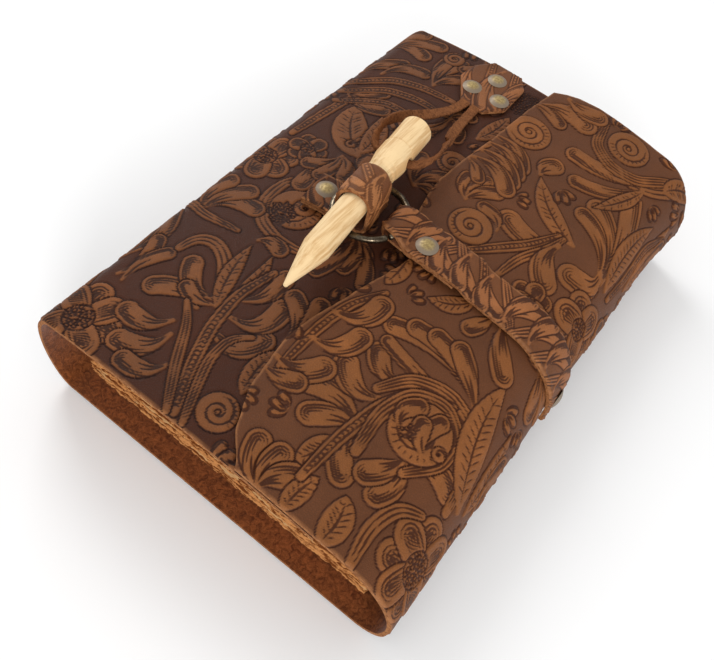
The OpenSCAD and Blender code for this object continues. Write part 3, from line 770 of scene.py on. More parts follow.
def grain_group() -> bpy.types.NodeTree:
    """Leather grain: soft patches, pores, and a normal from both."""

    def fill(net: Net, given: bpy.types.Node, result: bpy.types.Node) -> None:
        place = net.add("ShaderNodeTexCoord").outputs["Object"]
        scaled = net.add(
            "ShaderNodeVectorMath", {"operation": "SCALE"}, i0=place, Scale=given.outputs["Scale"]
        ).outputs[0]
        patch = net.noise(scaled, 60.0, 4.0, 0.6)
        cells = net.add(
            "ShaderNodeTexVoronoi", {"feature": "DISTANCE_TO_EDGE"}, Vector=scaled, Scale=1500.0
        ).outputs["Distance"]
        pore = net.math(
            "ADD", net.ramp(cells, 0.0, 0.25), net.math("MULTIPLY", net.noise(scaled, 2600.0, 2.0), 0.8)
        )
        bump = net.add(
            "ShaderNodeBump", None, Strength=given.outputs["Strength"], Distance=0.00012, Height=pore
        )
        for key, value in (("Patch", patch), ("Pore", pore), ("Normal", bump.outputs[0])):
            net.join(value, result, key)

    kinds = {"Patch": "NodeSocketFloat", "Pore": "NodeSocketFloat", "Normal": "NodeSocketVector"}
    return group("leather_grain", kinds, fill)


def fuzz_group() -> bpy.types.NodeTree:
    """Loose fibres, for suede, cut edges and deckled paper."""

    def fill(net: Net, given: bpy.types.Node, result: bpy.types.Node) -> None:
        place = net.add("ShaderNodeTexCoord").outputs["Object"]
        scaled = net.add(
            "ShaderNodeVectorMath", {"operation": "SCALE"}, i0=place, Scale=given.outputs["Scale"]
        ).outputs[0]
        bent = net.add(
            "ShaderNodeTexNoise", None, Vector=scaled, Scale=500.0, Detail=3.0, Distortion=1.5
        ).outputs[0]
        fine = net.noise(scaled, 2600.0, 3.0, 0.7)
        both = net.math("ADD", net.math("MULTIPLY", bent, 0.6), net.math("MULTIPLY", fine, 0.4))
        bump = net.add(
            "ShaderNodeBump", None, Strength=given.outputs["Strength"], Distance=0.0004, Height=both
        )
        for key, value in (("Fibre", both), ("Normal", bump.outputs[0])):
            net.join(value, result, key)

    return group("loose_fibre", {"Fibre": "NodeSocketFloat", "Normal": "NodeSocketVector"}, fill)


@dataclass(frozen=True)
class Finish:
    """A material, made once for each name.

    Args:
        name: The material's name.
        dark, light: Its two colours.
        rough: Its roughness.
        metal: How metallic it is.
        specular: Strength of its highlight.
        sheen: Weight of its sheen.
    """

    name: str
    dark: tuple
    light: tuple
    rough: float = 0.6
    metal: float = 0.0
    specular: float = 0.4
    sheen: float = 0.0

    def colours(self, net: Net, shader: bpy.types.Node) -> None:
        """Joins what drives the shader. Each kind of finish has its own."""
        place = net.add("ShaderNodeTexCoord").outputs["Object"]
        net.join(net.mix(net.noise(place, 300.0), self.dark, self.light), shader, "Base Color")

    def make(self) -> bpy.types.Material:
        """The Blender material."""
        found = bpy.data.materials.get(self.name)
        if found:
            return found
        material = bpy.data.materials.new(self.name)
        material.use_nodes = True
        net = Net(material.node_tree)
        shader = material.node_tree.nodes["Principled BSDF"]
        shader.inputs["Roughness"].default_value = self.rough
        shader.inputs["Metallic"].default_value = self.metal
        shader.inputs["Specular IOR Level"].default_value = self.specular
        shader.inputs["Sheen Weight"].default_value = self.sheen
        self.colours(net, shader)
        return material


@dataclass(frozen=True)
class Tooled(Finish):
    """Waxed leather with raised tooling: dark ground, tan high parts and darker cut lines."""

    rough: float = 0.56
    specular: float = 0.18
    cut: tuple = colour(52, 25, 12)
    rubbed: tuple = colour(158, 104, 62)
    grain: float = 0.5

    def colours(self, net: Net, shader: bpy.types.Node) -> None:
        hide = net.add("ShaderNodeGroup", {"node_tree": grain_group()}, Scale=1.0, Strength=self.grain)
        rise = net.ramp(net.value("rise"), 0.1, 0.85)
        base = net.mix(rise, self.dark, self.light)
        base = net.mix(net.math("MULTIPLY", net.value("worn"), 0.85), base, self.rubbed)
        worn = net.math("MULTIPLY", net.ramp(hide.outputs["Patch"], 0.5, 0.75), rise)
        base = net.mix(
            net.math("MULTIPLY", worn, 0.3), base, tuple(min(c * 1.6, 1) for c in self.light[:3]) + (1.0,)
        )
        base = net.mix(net.math("MULTIPLY", net.ramp(net.value("line"), 0.15, 0.75), 0.9), base, self.cut)
        shade = net.math("ADD", net.math("MULTIPLY", hide.outputs["Patch"], 0.7), 0.62)
        shade = net.math(
            "MULTIPLY", shade, net.math("ADD", net.math("MULTIPLY", hide.outputs["Pore"], 0.16), 0.86)
        )
        both = net.add("ShaderNodeCombineColor", None, i0=shade, i1=shade, i2=shade).outputs[0]
        net.join(net.mix(1.0, base, both, "MULTIPLY"), shader, "Base Color")
        net.join(hide.outputs["Normal"], shader, "Normal")
        rough = net.math("ADD", net.math("MULTIPLY", hide.outputs["Patch"], 0.2), self.rough - 0.1)
        net.join(rough, shader, "Roughness")


@dataclass(frozen=True)
class Fuzzy(Finish):
    """Suede, cut edges and paper fibres, with painted light and shade from a mesh's depth value."""

    strength: float = 0.9
    scale: float = 1.0

    def colours(self, net: Net, shader: bpy.types.Node) -> None:
        fuzz = net.add(
            "ShaderNodeGroup", {"node_tree": fuzz_group()}, Scale=self.scale, Strength=self.strength
        )
        # Painted light and shade: "depth" lightens the lace's upper side and darkens the pages' set-back
        # edges.
        share = net.ramp(
            net.math("ADD", fuzz.outputs["Fibre"], net.math("MULTIPLY", net.value("depth"), 0.5)), 0.32,
            0.68
        )
        net.join(net.mix(share, self.dark, self.light), shader, "Base Color")
        net.join(fuzz.outputs["Normal"], shader, "Normal")


@dataclass(frozen=True)
class Wood(Finish):
    """Raw turned wood with fine grain along the peg."""

    def colours(self, net: Net, shader: bpy.types.Node) -> None:
        place = net.add("ShaderNodeTexCoord").outputs["Object"]
        turned = net.add(
            "ShaderNodeMapping", None, Vector=place, Rotation=(0, 0, -PEG_TURN), Scale=(1.0, 0.07, 1.0)
        ).outputs[0]
        streak = net.noise(turned, 900.0, 4.0, 0.6)
        broad = net.noise(turned, 220.0, 2.0)
        share = net.math("ADD", net.math("MULTIPLY", streak, 0.6), net.math("MULTIPLY", broad, 0.4))
        net.join(net.mix(net.ramp(share, 0.38, 0.58), self.dark, self.light), shader, "Base Color")
        bump = net.add("ShaderNodeBump", None, Strength=0.25, Distance=0.0001, Height=streak)
        net.join(bump.outputs[0], shader, "Normal")


@dataclass(frozen=True)
class Metal(Finish):
    """Antique metal, mottled, with a pale or dark bloom; rim, where given, is a painted shade on faces that
    turn away from straight up.
    """

    size: float = 900.0
    rim: Optional[tuple] = None

    def colours(self, net: Net, shader: bpy.types.Node) -> None:
        place = net.add("ShaderNodeTexCoord").outputs["Object"]
        spots = net.noise(place, self.size, 4.0, 0.65)
        share = net.ramp(spots, 0.38, 0.62)
        base = net.mix(share, self.dark, self.light)
        # Painted shade: faces that turn away from straight up, such as the caps' sloped rims, take the rim
        # colour.
        if self.rim:
            facing = net.add("ShaderNodeTexCoord").outputs["Normal"]
            up = net.add("ShaderNodeSeparateXYZ", None, Vector=facing).outputs["Z"]
            base = net.mix(net.ramp(up, 0.99, 0.9), base, self.rim)
        net.join(base, shader, "Base Color")
        net.join(net.math("ADD", net.math("MULTIPLY", share, -0.15), self.rough), shader, "Roughness")
        bump = net.add("ShaderNodeBump", None, Strength=0.3, Distance=0.0001, Height=spots)
        net.join(bump.outputs[0], shader, "Normal")


WAXED = 0.22


class Look(Enum):
    """The finishes of the notebook."""

    COVER = Tooled("cover_grain", colour(66, 31, 13), colour(116, 69, 36), cut=colour(40, 14, 3))
    FLAP = Tooled("flap_grain", colour(96, 56, 31), colour(128, 77, 38), cut=colour(58, 24, 5))
    CLOSURE = Tooled(
        "closure_grain", colour(106, 62, 32), colour(146, 90, 50), specular=WAXED, cut=colour(58, 24, 6)
    )
    LACE = Fuzzy("rough_lace", colour(66, 34, 18), colour(134, 84, 50), 0.9, specular=0.12, scale=1.4)
    STRIP = Tooled(
        "loop_grain", colour(112, 66, 36), colour(164, 106, 62), specular=WAXED, cut=colour(96, 54, 26)
    )
    EDGE = Fuzzy("cut_edge", colour(112, 66, 38), colour(168, 116, 74), 0.95, specular=0.1)
    SUEDE = Fuzzy("flesh_side", colour(84, 41, 14), colour(148, 84, 42), 1.0, specular=0.05, sheen=0.25)
    PAPER = Fuzzy("deckled_paper", colour(112, 58, 24), colour(204, 140, 84), 0.95, specular=0.1, scale=0.8)
    LEAF = Finish("handmade_leaf", colour(184, 136, 88), colour(216, 172, 120), 0.9, specular=0.1)
    WOOD = Wood("turned_wood", colour(212, 170, 116), colour(242, 210, 160), 0.6, specular=0.25)
    BRONZE = Metal("dark_bronze", colour(66, 56, 44), colour(118, 106, 88), 0.3, 0.9, size=500.0)
    # The brass's rim colour is a painted shade on the rivet caps' sloped rims.
    BRASS = Metal(
        "mottled_brass", colour(140, 118, 74), colour(172, 148, 94), 0.55, 0.35, size=1100.0,
        rim=colour(134, 118, 100)
    )
    THREAD = Finish("waxed_thread", colour(70, 38, 20), colour(96, 56, 32), 0.7)


def wear(obj: bpy.types.Object, slot: str, *looks: Look) -> None:
    """Gives a piece its finishes, in the order of its material slots."""
    kinds = np.zeros(len(obj.data.polygons), np.int32)
    obj.data.polygons.foreach_get("material_index", kinds)
    obj.data.materials.clear()
    for look in looks:
        obj.data.materials.append(look.value.make())
    obj.data.polygons.foreach_set("material_index", np.minimum(kinds, len(looks) - 1))


# ---------------------------------------------------------------- the leather sheets

DENT = Noise(3)


@dataclass
class Sheet:
    """One tooled sheet of the cover.

    Args:
        name: The piece's name.
        look: Finish of its grain side.
        slot: A slot name, which is not used.
        path: Its outer side in X and Z.
        tooling: Its pattern.
        along: Lengths on the path of the grain side's rows.
        across: Places along Y of the grain side's columns.
        warp: Moves the flat places (u, v) to the real outline.
    """

    name: str
    look: Look
    slot: str
    path: Path
    tooling: Tooling
    along: np.ndarray
    across: np.ndarray
    warp: Callable = field(default=lambda u, v: (u, v))
    flesh_step: tuple = (2.4, 1.2)
    obj: Optional[bpy.types.Object] = None

    def build(self) -> "Sheet":
        """Makes the sheet's mesh."""
        u, v = np.meshgrid(self.along, self.across, indexing="ij")
        u, v = self.warp(u, v)
        rise, line = self.tooling.sample(u, v)
        rim = np.minimum.reduce(
            [
                v - v.min(1, keepdims=True), v.max(1, keepdims=True) - v, u - u.min(0, keepdims=True),
                u.max(0, keepdims=True) - u
            ]
        )
        gap = rim
        rim = smooth(rim / 0.8)
        height = 0.46 * rise - 0.36 * line - 0.3 + 0.1 * DENT.layers(u, v, 7.0) + 0.05 * DENT.at(u, v, 0.9)
        height = height * rim - 0.45 * (1 - rim)
        place, normal = self.path.at(u)
        height = height + fullness(place[..., 0], v, place[..., 1])
        outer = np.stack(
            [place[..., 0] + normal[..., 0] * height, v, place[..., 1] + normal[..., 1] * height], -1
        )
        rows = np.linspace(self.along[0], self.along[-1], int(np.ptp(self.along) / self.flesh_step[0]) + 2)
        columns = np.linspace(
            self.across[0], self.across[-1], int(np.ptp(self.across) / self.flesh_step[1]) + 2
        )
        p, q = self.warp(*np.meshgrid(rows, columns, indexing="ij"))
        place, normal = self.path.at(p)
        depth = -LEATHER + 0.12 + 0.16 * DENT.at(p, q, 1.9) + fullness(place[..., 0], q, place[..., 1])
        inner = np.stack(
            [place[..., 0] + normal[..., 0] * depth, q, place[..., 1] + normal[..., 1] * depth], -1
        )
        self.obj = shell(self.name, outer, inner)
        add_value(self.obj, "rise", rise.ravel())
        add_value(self.obj, "line", line.ravel())
        frayed = 0.7 + 0.9 * DENT.at(u, v, 1.6)
        add_value(self.obj, "worn", (smooth(1.15 - gap / 0.8) * frayed).ravel())
        return self

    def dress(self) -> "Sheet":
        """Gives the sheet its finishes."""
        wear(self.obj, self.slot, self.look, Look.EDGE, Look.SUEDE)
        return self


def rows(*parts: tuple[float, float, float]) -> np.ndarray:
    """Lengths from first to last with a step of their own in each part, each given as (from, to, step)."""
    out = [np.array([parts[0][0]])]
    for low, high, step in parts:
        out.append(np.linspace(low, high, max(int(round((high - low) / step)), 1) + 1)[1:])
    return np.concatenate(out)


def front_path() -> Path:
    """Upper half of the spine and the front cover."""
    top = [(x, BOOK_H + float(arch(x))) for x in np.linspace(SPINE_X + 1.5, COVER_X, 60)]
    return Path(arc(SPINE_X, BOOK_H / 2, -9.0, 0, -90, 30, -BOOK_H / 2) + top, 0.8, -20.0)


def flap_path() -> Path:
    """The flap, the fold and the fore-edge down to above its foot."""
    top = [(x, BOOK_H + LIFT + float(arch(x))) for x in np.linspace(-12, FOLD_X, 40)]
    bend = arc(FOLD_X, FOLD_TOP - FOLD_R, FOLD_R, 86, 0, 40)
    return Path(top + bend + [(HALF_W, 14.0)], 0.8, 20.0)


def back_path() -> Path:
    """From above the foot of the fore-edge, round under the back, to the middle of the spine."""
    foot = arc(HALF_W - 10, 10, 10, 0, -90, 16)
    return Path([(HALF_W, 14.0)] + foot + arc(SPINE_X, BOOK_H / 2, -9.0, 90, 0, 30, -BOOK_H / 2), 0.5)


EDGE_U = [
    14, 10.8, 5, -1.2, -3.9, -2.9, -0.2, 2.1, 5.8, 6.5, 3, -2.9, -5.6, -6.2, -5, -3.2, -2.2, -1.1, 0.4, 1.5
]
EDGE_V = [
    -1.02, -0.975, -0.92, -0.79, -0.61, -0.5, -0.39, -0.29, -0.146, -0.08, 0, 0.082, 0.196, 0.27, 0.42,
    0.57, 0.705, 0.845, 0.945, 1.0
]


def flap_warp(u: np.ndarray, v: np.ndarray) -> tuple[np.ndarray, np.ndarray]:
    """Bends the flap's flat grid to its wavy free edge and its longer far end."""
    fine = np.linspace(-HALF_L, HALF_L, 400)
    edge = np.interp(fine, np.array(EDGE_V) * HALF_L, EDGE_U)
    kernel = np.hanning(15) / np.hanning(15).sum()
    edge = np.convolve(np.pad(edge, 7, "edge"), kernel, "valid")
    share = 1 - smooth((u + 7) / 34)
    wave = np.interp(v, fine, edge) + 0.35 * DENT.at(v, 0 * v, 2.2) * (1 - smooth((u + 7) / 6)) + 7
    u = u + wave * share
    far = np.interp(
        u, [0, 6, 11, 20, 30, FOLD_X, FOLD_X + 12, FOLD_X + 24, FOLD_X + 40],
        [0.0, 0.5, 0.78, 1, 1, 0.94, 0.7, 0.3, 0]
    )
    return u, v + FLAP_OVER * far * smooth((v - 60) / 42)


def make_sheets() -> list[Sheet]:
    """The three tooled sheets, each across one bend of the leather."""
    path = front_path()
    front = Sheet(
        "front_leather", Look.COVER, "cover_leather", path, front_tooling(),
        rows((path.s[0], 7, 0.52), (7, path.s[-1], 1.15)), rows((-HALF_L, HALF_L, 0.5)),
    ).build().dress()
    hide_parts("front_cover", "spine")
    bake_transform(front.obj)
    path = flap_path()
    flap = Sheet(
        "flap_leather", Look.FLAP, "flap_leather", path, flap_tooling(),
        rows((-7, 79, 0.47), (79, path.s[-1], 1.3)), rows((-HALF_L, HALF_L, 0.48)), flap_warp,
    ).build().dress()
    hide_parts("flap", "fore_edge_fold")
    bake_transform(flap.obj)
    path = back_path()
    back = Sheet(
        "back_leather", Look.COVER, "cover_leather", path, back_tooling(),
        rows((path.s[0], path.s[-1], 0.8)), rows((-HALF_L, HALF_L, 0.8)),
    ).build().dress()
    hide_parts("back_cover")
    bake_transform(back.obj)
    return [front, flap, back]


# ---------------------------------------------------------------- the pages


@dataclass
class Section:
    """One sewn section of handmade sheets with deckled ends.

    Args:
        number: From 1 at the bottom.
    """

    number: int
    obj: Optional[bpy.types.Object] = None
    LEAVES = 7

    def build(self) -> "Section":
        """Makes the section as a stack of uneven sheets, closed at the spine."""
        low, high = (np.array(c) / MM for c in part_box(f"section_{self.number}"))
        noise = Noise(20 + self.number)
        thick = high[2] - low[2]
        x0, x1, y1 = low[0], high[0], high[1] - 0.6
        near = np.linspace(x0 + thick / 2, x1, 220)
        side = np.linspace(-y1, y1, 200)[1:-1]
        ring = np.concatenate([
            np.stack([near, np.full_like(near, -y1)], 1), np.stack([np.full_like(side, x1), side], 1),
            np.stack([near[::-1], np.full_like(near, y1)], 1),
            np.stack([np.full_like(side[::8], x0), side[::-8]], 1),
        ])
        out = np.zeros_like(ring)
        n = len(near)
        out[:n, 1], out[n : n + len(side), 0], out[n + len(side) : 2 * n + len(side), 1] = -1, 1, 1
        steps = np.repeat(np.linspace(0, 1, self.LEAVES + 1), 2)[1:-1]
        levels, points, edge_shade_and_tone = [], [], []
        for k, share in enumerate(steps):
            leaf = k // 2
            run = ring[:, 0] + ring[:, 1]
            rough = 1.3 * noise.layers(
                run, run * 0 + 11.0 * leaf, 6.0, 4
            ) + 0.5 * noise.at(run, run * 0 + 5.0 * leaf, 0.7)
            edge_in = 0.25 if k % 2 == 0 else 0.0
            spine = 0.5 * thick * (1 - math.sqrt(max(1 - (2 * share - 1) ** 2, 0)))
            place = ring + out * (rough - 0.3 - edge_in)[:, None]
            place[:, 0] += np.where(out.any(1), 0, spine)
            levels.append(low[2] + thick * (0.02 + 0.96 * share))
            points.append(np.c_[place, np.full(len(ring), levels[-1])])
            # Painted shade with random tone: the "depth" value darkens sheet edges that stand back, most of
            # all each set-in sheet, and adds noise.
            edge_shade_and_tone.append(rough + noise.at(run, run * 0 + 3.0 * leaf, 2.0) - (0.5 if k % 2 == 0 else 0.0))
        m, count = len(ring), len(steps)
        index = np.arange(m * count).reshape(count, m)
        faces = grid_faces(np.concatenate([index, index[:, :1]], 1), True).tolist()
        faces += [index[0, ::-1].tolist(), index[-1].tolist()]
        kinds = np.zeros(len(faces), int)
        kinds[-2:] = 1
        self.obj = new_mesh(f"page_section_{self.number}", np.concatenate(points), faces, kinds)
        add_value(self.obj, "depth", np.concatenate(edge_shade_and_tone))
        return self

    def dress(self) -> "Section":
        """Gives the section its paper."""
        wear(self.obj, "paper", Look.PAPER, Look.LEAF)
        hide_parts(f"section_{self.number}")
        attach(self.obj, "back")
        return self


# ---------------------------------------------------------------- the closure


@dataclass
class Ribbon:
    """A strip of closure leather along a path, tooled on its outer side.

    Args:
        name: The piece's name.
        path: Its middle layer in X and Z.
        low, high: Its two edges in Y by length.
        seed: Seed of its pattern.
        bead: Height of the raised line along its low edge.
        centre, turn: Where it stands in X and Y, and how far it is turned.
    """

    name: str
    path: Path
    low: Callable[[np.ndarray], np.ndarray]
    high: Callable[[np.ndarray], np.ndarray]
    seed: int
    bead: float = 0.0
    centre: tuple = (0.0, 0.0)
    turn: float = 0.0
    look: "Look" = None
    obj: Optional[bpy.types.Object] = None

    def build(self) -> "Ribbon":
        """Makes the strip's mesh."""
        length = self.path.s[-1]
        s = np.linspace(0, length, int(length / 0.45))
        w = np.linspace(0, 1, 38)
        u, share = np.meshgrid(s, w, indexing="ij")
        low, high = self.low(s)[:, None], self.high(s)[:, None]
        v = low + (high - low) * share + 0.22 * DENT.at(
            u, share * 3 + self.seed, 2.4
        ) * np.abs(share - 0.5) * 2
        rise, line = small_tooling(length, 16.0, self.seed).sample(u, (share - 0.5) * 16)
        edge = np.minimum(v - low, high - v)
        height = 0.3 * rise - 0.25 * line - 0.1 + 0.05 * DENT.at(u, v, 3.0) - 0.35 * (1 - smooth(edge / 0.7))
        if self.bead:
            rope = 1 + 0.5 * np.sin(u * 3.1 + DENT.at(u, v, 6.0) * 3)
            height += self.bead * np.exp(-(((v - low - 1.0) / 0.55) ** 2)) * rope
        place, normal = self.path.at(u)
        outer = self.put(place + normal * (STRAP / 2 + height - 0.05)[..., None], v)
        inner = self.put(place - normal * (STRAP / 2 - 0.05 + 0.06 * DENT.at(u, v, 1.0))[..., None], v)
        self.obj = shell(self.name, outer, inner[:, ::2] if inner.shape[1] % 2 else inner)
        add_value(self.obj, "rise", rise.ravel() * 0.7 + 0.15)
        add_value(self.obj, "line", line.ravel())
        add_value(self.obj, "worn", (smooth(1.3 - edge / 0.9) * (0.75 + DENT.at(u, v, 1.4))).ravel())
        return self

    def put(self, place: np.ndarray, v: np.ndarray) -> np.ndarray:
        """Places in the row frame from places on the strip."""
        c, s = math.cos(self.turn), math.sin(self.turn)
        x, y = place[..., 0], v
        return np.stack([self.centre[0] + x * c - y * s, self.centre[1] + x * s + y * c, place[..., 1]], -1)

    def dress(self) -> "Ribbon":
        """Gives the strip its finishes."""
        wear(self.obj, "closure_leather", self.look or Look.CLOSURE, Look.EDGE, Look.SUEDE)
        return self


def flap_level(x: float) -> float:
    """Middle of a strap that lies on the flap at x."""
    return BOOK_H + LIFT + float(arch(x)) + 0.3 + STRAP / 2


def make_strap() -> Ribbon:
    """The strap, from under itself, round the ring's wire and over the flap to its rivet on the fore-edge."""
    ply = STRAP + 0.12
    points = [(HALF_W + 1.1, 12.0)] + arc(FOLD_X, FOLD_TOP - FOLD_R, FOLD_R + 1.1, 0, 84, 30)
    points += [(x, flap_level(x)) for x in np.linspace(43, 30, 6)]
    points += [(x, flap_level(x) + ply) for x in np.linspace(26, 6, 8)]
    points += [(3.4, 49.0), (0.6, 50.9), (-1.6, 51.75)] + arc(-4.2, 49.55, 2.25, 90, 262, 14)
    points += [(-2.0, 46.95)] + [(x, flap_level(x) + 0.05) for x in np.linspace(1, 24, 8)]
    path = Path(points[::-1], 0.45)
    tip = float(path.s[np.argmin(path.p[:, 0])])

    def taper(s: np.ndarray) -> np.ndarray:
        return smooth((np.abs(s - tip) - 2) / 12)

    def low(s: np.ndarray) -> np.ndarray:
        return -10.3 - 0.7 * taper(s) + 1.4 * (1 - smooth(np.abs(s - tip) / 3.2)) + 0.25 * np.sin(s / 9)

    def high(s: np.ndarray) -> np.ndarray:
        return 2.9 + 2.2 * taper(s) - 1.3 * (1 - smooth(np.abs(s - tip) / 3.2)) + 0.2 * np.sin(s / 7)

    strap = Ribbon("strap", path, low, high, 31, 0.38).build().dress()
    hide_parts("closure_strap", "strap_fold_run")
    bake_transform(strap.obj)
    return strap


def make_loop() -> Ribbon:
    """The loop: two layers under the rivet and the ring, standing up inside the ring and round the peg."""
    rivet, low, mid, r, neck = -14.11, 43.97, 44.44, 6.1, -3.15
    ply = STRAP + 0.1
    points = [
        (rivet - 5, low), (rivet + 5, low), (-2, mid), (r - 3, mid + 0.1), (r - 1, mid + 1), (r, mid + 3)
    ]
    points += arc(0, PEG_Z, r, 0, 180 + math.degrees(math.acos(-neck / r)), 40)
    points += [(neck, mid + ply + 2.2), (neck - 0.7, mid + ply + 0.8), (neck - 2.2, mid + ply + 0.1)]
    points += [(neck - 3.6, mid + ply - 0.1), (rivet + 5, low + ply), (rivet - 5, low + ply)]
    path = Path(points[::-1], 0.35)
    width = LOOP_W / 2 - 0.1
    loop = Ribbon(
        "loop", path, lambda s: -width + 0.2 * np.sin(s / 5), lambda s: width + 0.2 * np.sin(s / 4), 41,
        0.0, (LOOP_X, LOOP_Y), PEG_TURN, Look.STRIP,
    ).build().dress()
    loop.obj.data.materials.append(Look.COVER.value.make())
    for face in loop.obj.data.polygons:
        if face.material_index == 0 and face.center.x < (LOOP_X - 8.6) * MM:
            face.material_index = 3
    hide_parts("closure_loop")
    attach(loop.obj, "front")
    return loop


def make_patch() -> bpy.types.Object:
    """The eight-sided patch that holds the thong."""
    corners = np.array(
        [
            (-31.5, 93.2), (-32.3, 83.3), (-24, 70.5), (-14, 70.5), (-7.9, 78), (-8.3, 94.5), (-13, 101),
            (-26, 101)
        ]
    )
    left, right = corners[[2, 1, 0, 7]], corners[[3, 4, 5, 6]]
    v = np.linspace(70.5, 101, 70)
    share = np.linspace(0, 1, 60)
    x0, x1 = np.interp(v, left[:, 1], left[:, 0]), np.interp(v, right[:, 1], right[:, 0])
    x = x0 + (x1 - x0) * share[:, None]
    y = np.broadcast_to(v, x.shape)
    tooling = small_tooling(34, 32, 55)
    rise, line = tooling.sample(x + 33, y - 86)
    edge = np.minimum.reduce([x - x0, x1 - x, y - 70.5, 101 - y])
    top = 45.3 + 0.14 * rise - 0.22 * line - 0.15 - 0.4 * (1 - smooth(edge / 1.1)) + 0.08 * DENT.at(x, y, 4.0)
    outer = np.stack([x, y, top], -1)
    inner = np.stack([x, y, np.full_like(x, 43.75)], -1)[np.ix_(np.r_[0:59:2, 59], np.r_[0:69:2, 69])]
    obj = shell("patch", outer, inner)
    add_value(obj, "rise", rise.ravel() * 0.6 + 0.1)
    add_value(obj, "line", line.ravel() * 0.8)
    wear(obj, "closure_leather", Look.CLOSURE, Look.EDGE, Look.SUEDE)
    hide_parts("tether_patch")
    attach(obj, "front")
    return obj


@dataclass
class Lace:
    """A stretch of the flat leather lace.

    Args:
        name: The piece's name.
        route: Its middle line in millimetres.
        rolls: Roll of its flat side along it, in degrees, from lying flat.
        bodies: The body it rides on, to which it is attached; a longer entry, such as two bodies with the two
            ends of a bend, leaves it unattached where it is.
    """

    name: str
    route: np.ndarray
    rolls: Sequence[float]
    bodies: tuple
    WIDE, THICK = 4.0, 1.3
    SQUARE = 0.45
    obj: Optional[bpy.types.Object] = None

    def build(self) -> "Lace":
        """Makes the stretch's mesh."""
        p = self.route
        d = np.gradient(p, axis=0)
        d /= np.linalg.norm(d, axis=1)[:, None]
        side = np.cross(d, [0, 0, 1.0])
        side /= np.linalg.norm(side, axis=1)[:, None]
        up = np.cross(side, d)
        s = np.linspace(0, 1, len(p))
        roll = np.radians(np.interp(s, np.linspace(0, 1, len(self.rolls)), self.rolls))[:, None]
        wide, thin = side * np.cos(roll) + up * np.sin(roll), up * np.cos(roll) - side * np.sin(roll)
        a = np.linspace(0, 2 * np.pi, 17)[:-1]
        ca, sa = (np.sign(c) * np.abs(c) ** self.SQUARE for c in (np.cos(a), np.sin(a)))
        run = np.arange(len(p)) * 0.5
        w = self.WIDE / 2 * (1 + 0.1 * DENT.at(run, 0 * run, 3.0))[:, None]
        rough = 0.3 * DENT.layers(run[:, None] + 0 * a, a * 2 + 0 * run[:, None], 1.6)
        rings = p[:, None] + wide[:, None] * ((w + rough) * ca)[..., None] + thin[:, None] * (
            (self.THICK / 2 + rough) * sa
        )[..., None]
        self.obj = tube(self.name, p, rings)
        # Painted light: the "depth" value makes the lace's upper flat side lighter, as if lit from above.
        add_value(self.obj, "depth", (0.15 * sa + 0 * run[:, None]).ravel())
        return self

    def dress(self) -> "Lace":
        """Gives the stretch its leather, and its body if it rides on one."""
        wear(self.obj, "closure_leather", Look.LACE)
        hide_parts("tether_thong")
        if len(self.bodies) == 1:
            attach(self.obj, self.bodies[0])
        else:
            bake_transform(self.obj)
        return self


def rounded(points: Sequence[Sequence[float]], step: float = 0.5) -> np.ndarray:
    """Points at equal steps on a smooth curve through the given ones."""
    p = np.array(points, float)
    s = np.r_[0, np.cumsum(np.linalg.norm(np.diff(p, axis=0), axis=1))]
    out = []
    for i in range(len(p) - 1):
        a, b, c, d = p[max(i - 1, 0)], p[i], p[i + 1], p[min(i + 2, len(p) - 1)]
        for t in np.linspace(0, 1, 12, endpoint=False):
            out.append(
                0.5 * (
                    2 * b + (c - a) * t + (
                        2 * a - 5 * b + 4 * c - d
                    ) * t**2 + (3 * b - a - 3 * c + d) * t**3
                )
            )
    q = np.array(out + [p[-1]])
    s = np.r_[0, np.cumsum(np.linalg.norm(np.diff(q, axis=0), axis=1))]
    even = np.linspace(0, s[-1], int(s[-1] / step) + 1)
    return np.stack([np.interp(even, s, q[:, k]) for k in range(3)], 1)


def make_thong() -> list[Lace]:
    """The lace from the patch, left about the peg's head, through its cross hole and back."""
    whole = rounded([
        (-22.1, 71.4, 44.55), (-22.4, 67.7, 44.6), (-23.4, 62.1, 45.1), (-24.8, 56.9, 46.1),
        (-26.8, 50.2, 47.9), (-29.7, 43.3, 50.0),
        (-32.2, 35.5, 52.4), (-33.0, 28.0, 54.2), (-31.4, 20.8, 55.1), (-28.4, 15.5, 55.1),
        (-25.0, 14.42, 55.1),
        (-20.02, 14.97, 55.1), (-15.0, 15.53, 55.1), (-12.2, 17.5, 55.1), (-10.4, 21.9, 54.8),
        (-10.0, 28.9, 53.4),
        (-11.3, 36.1, 51.2), (-14.3, 46.6, 48.2), (-16.0, 56.6, 46.0), (-16.8, 63.3, 45.0),
        (-17.2, 67.7, 44.6), (-17.4, 71.4, 44.5),
    ])
    n = len(whole)
    first, last = 62, n - 64
    roots = [
        Lace(
            "thong_left_root", whole[: first + 1], (0, 4, 30),
            ("front", "tether", (0, 0.0715, 0.0446), (0, 0.06, 0.046))
        ),
        Lace(
            "thong_bight", whole[first : last + 1], (30, 62, 88, 80, 40, 0, 0, 20, 60, 70, 55),
            ("tether", "peg", (-0.027, 0.045, 0.05), (-0.024, 0.022, 0.05))
        ),
        Lace(
            "thong_right_root", whole[last:][::-1], (0, -8, 55),
            ("front", "tether", (0, 0.0715, 0.0446), (0, 0.06, 0.046))
        ),
    ]
    return [lace.build().dress() for lace in roots]


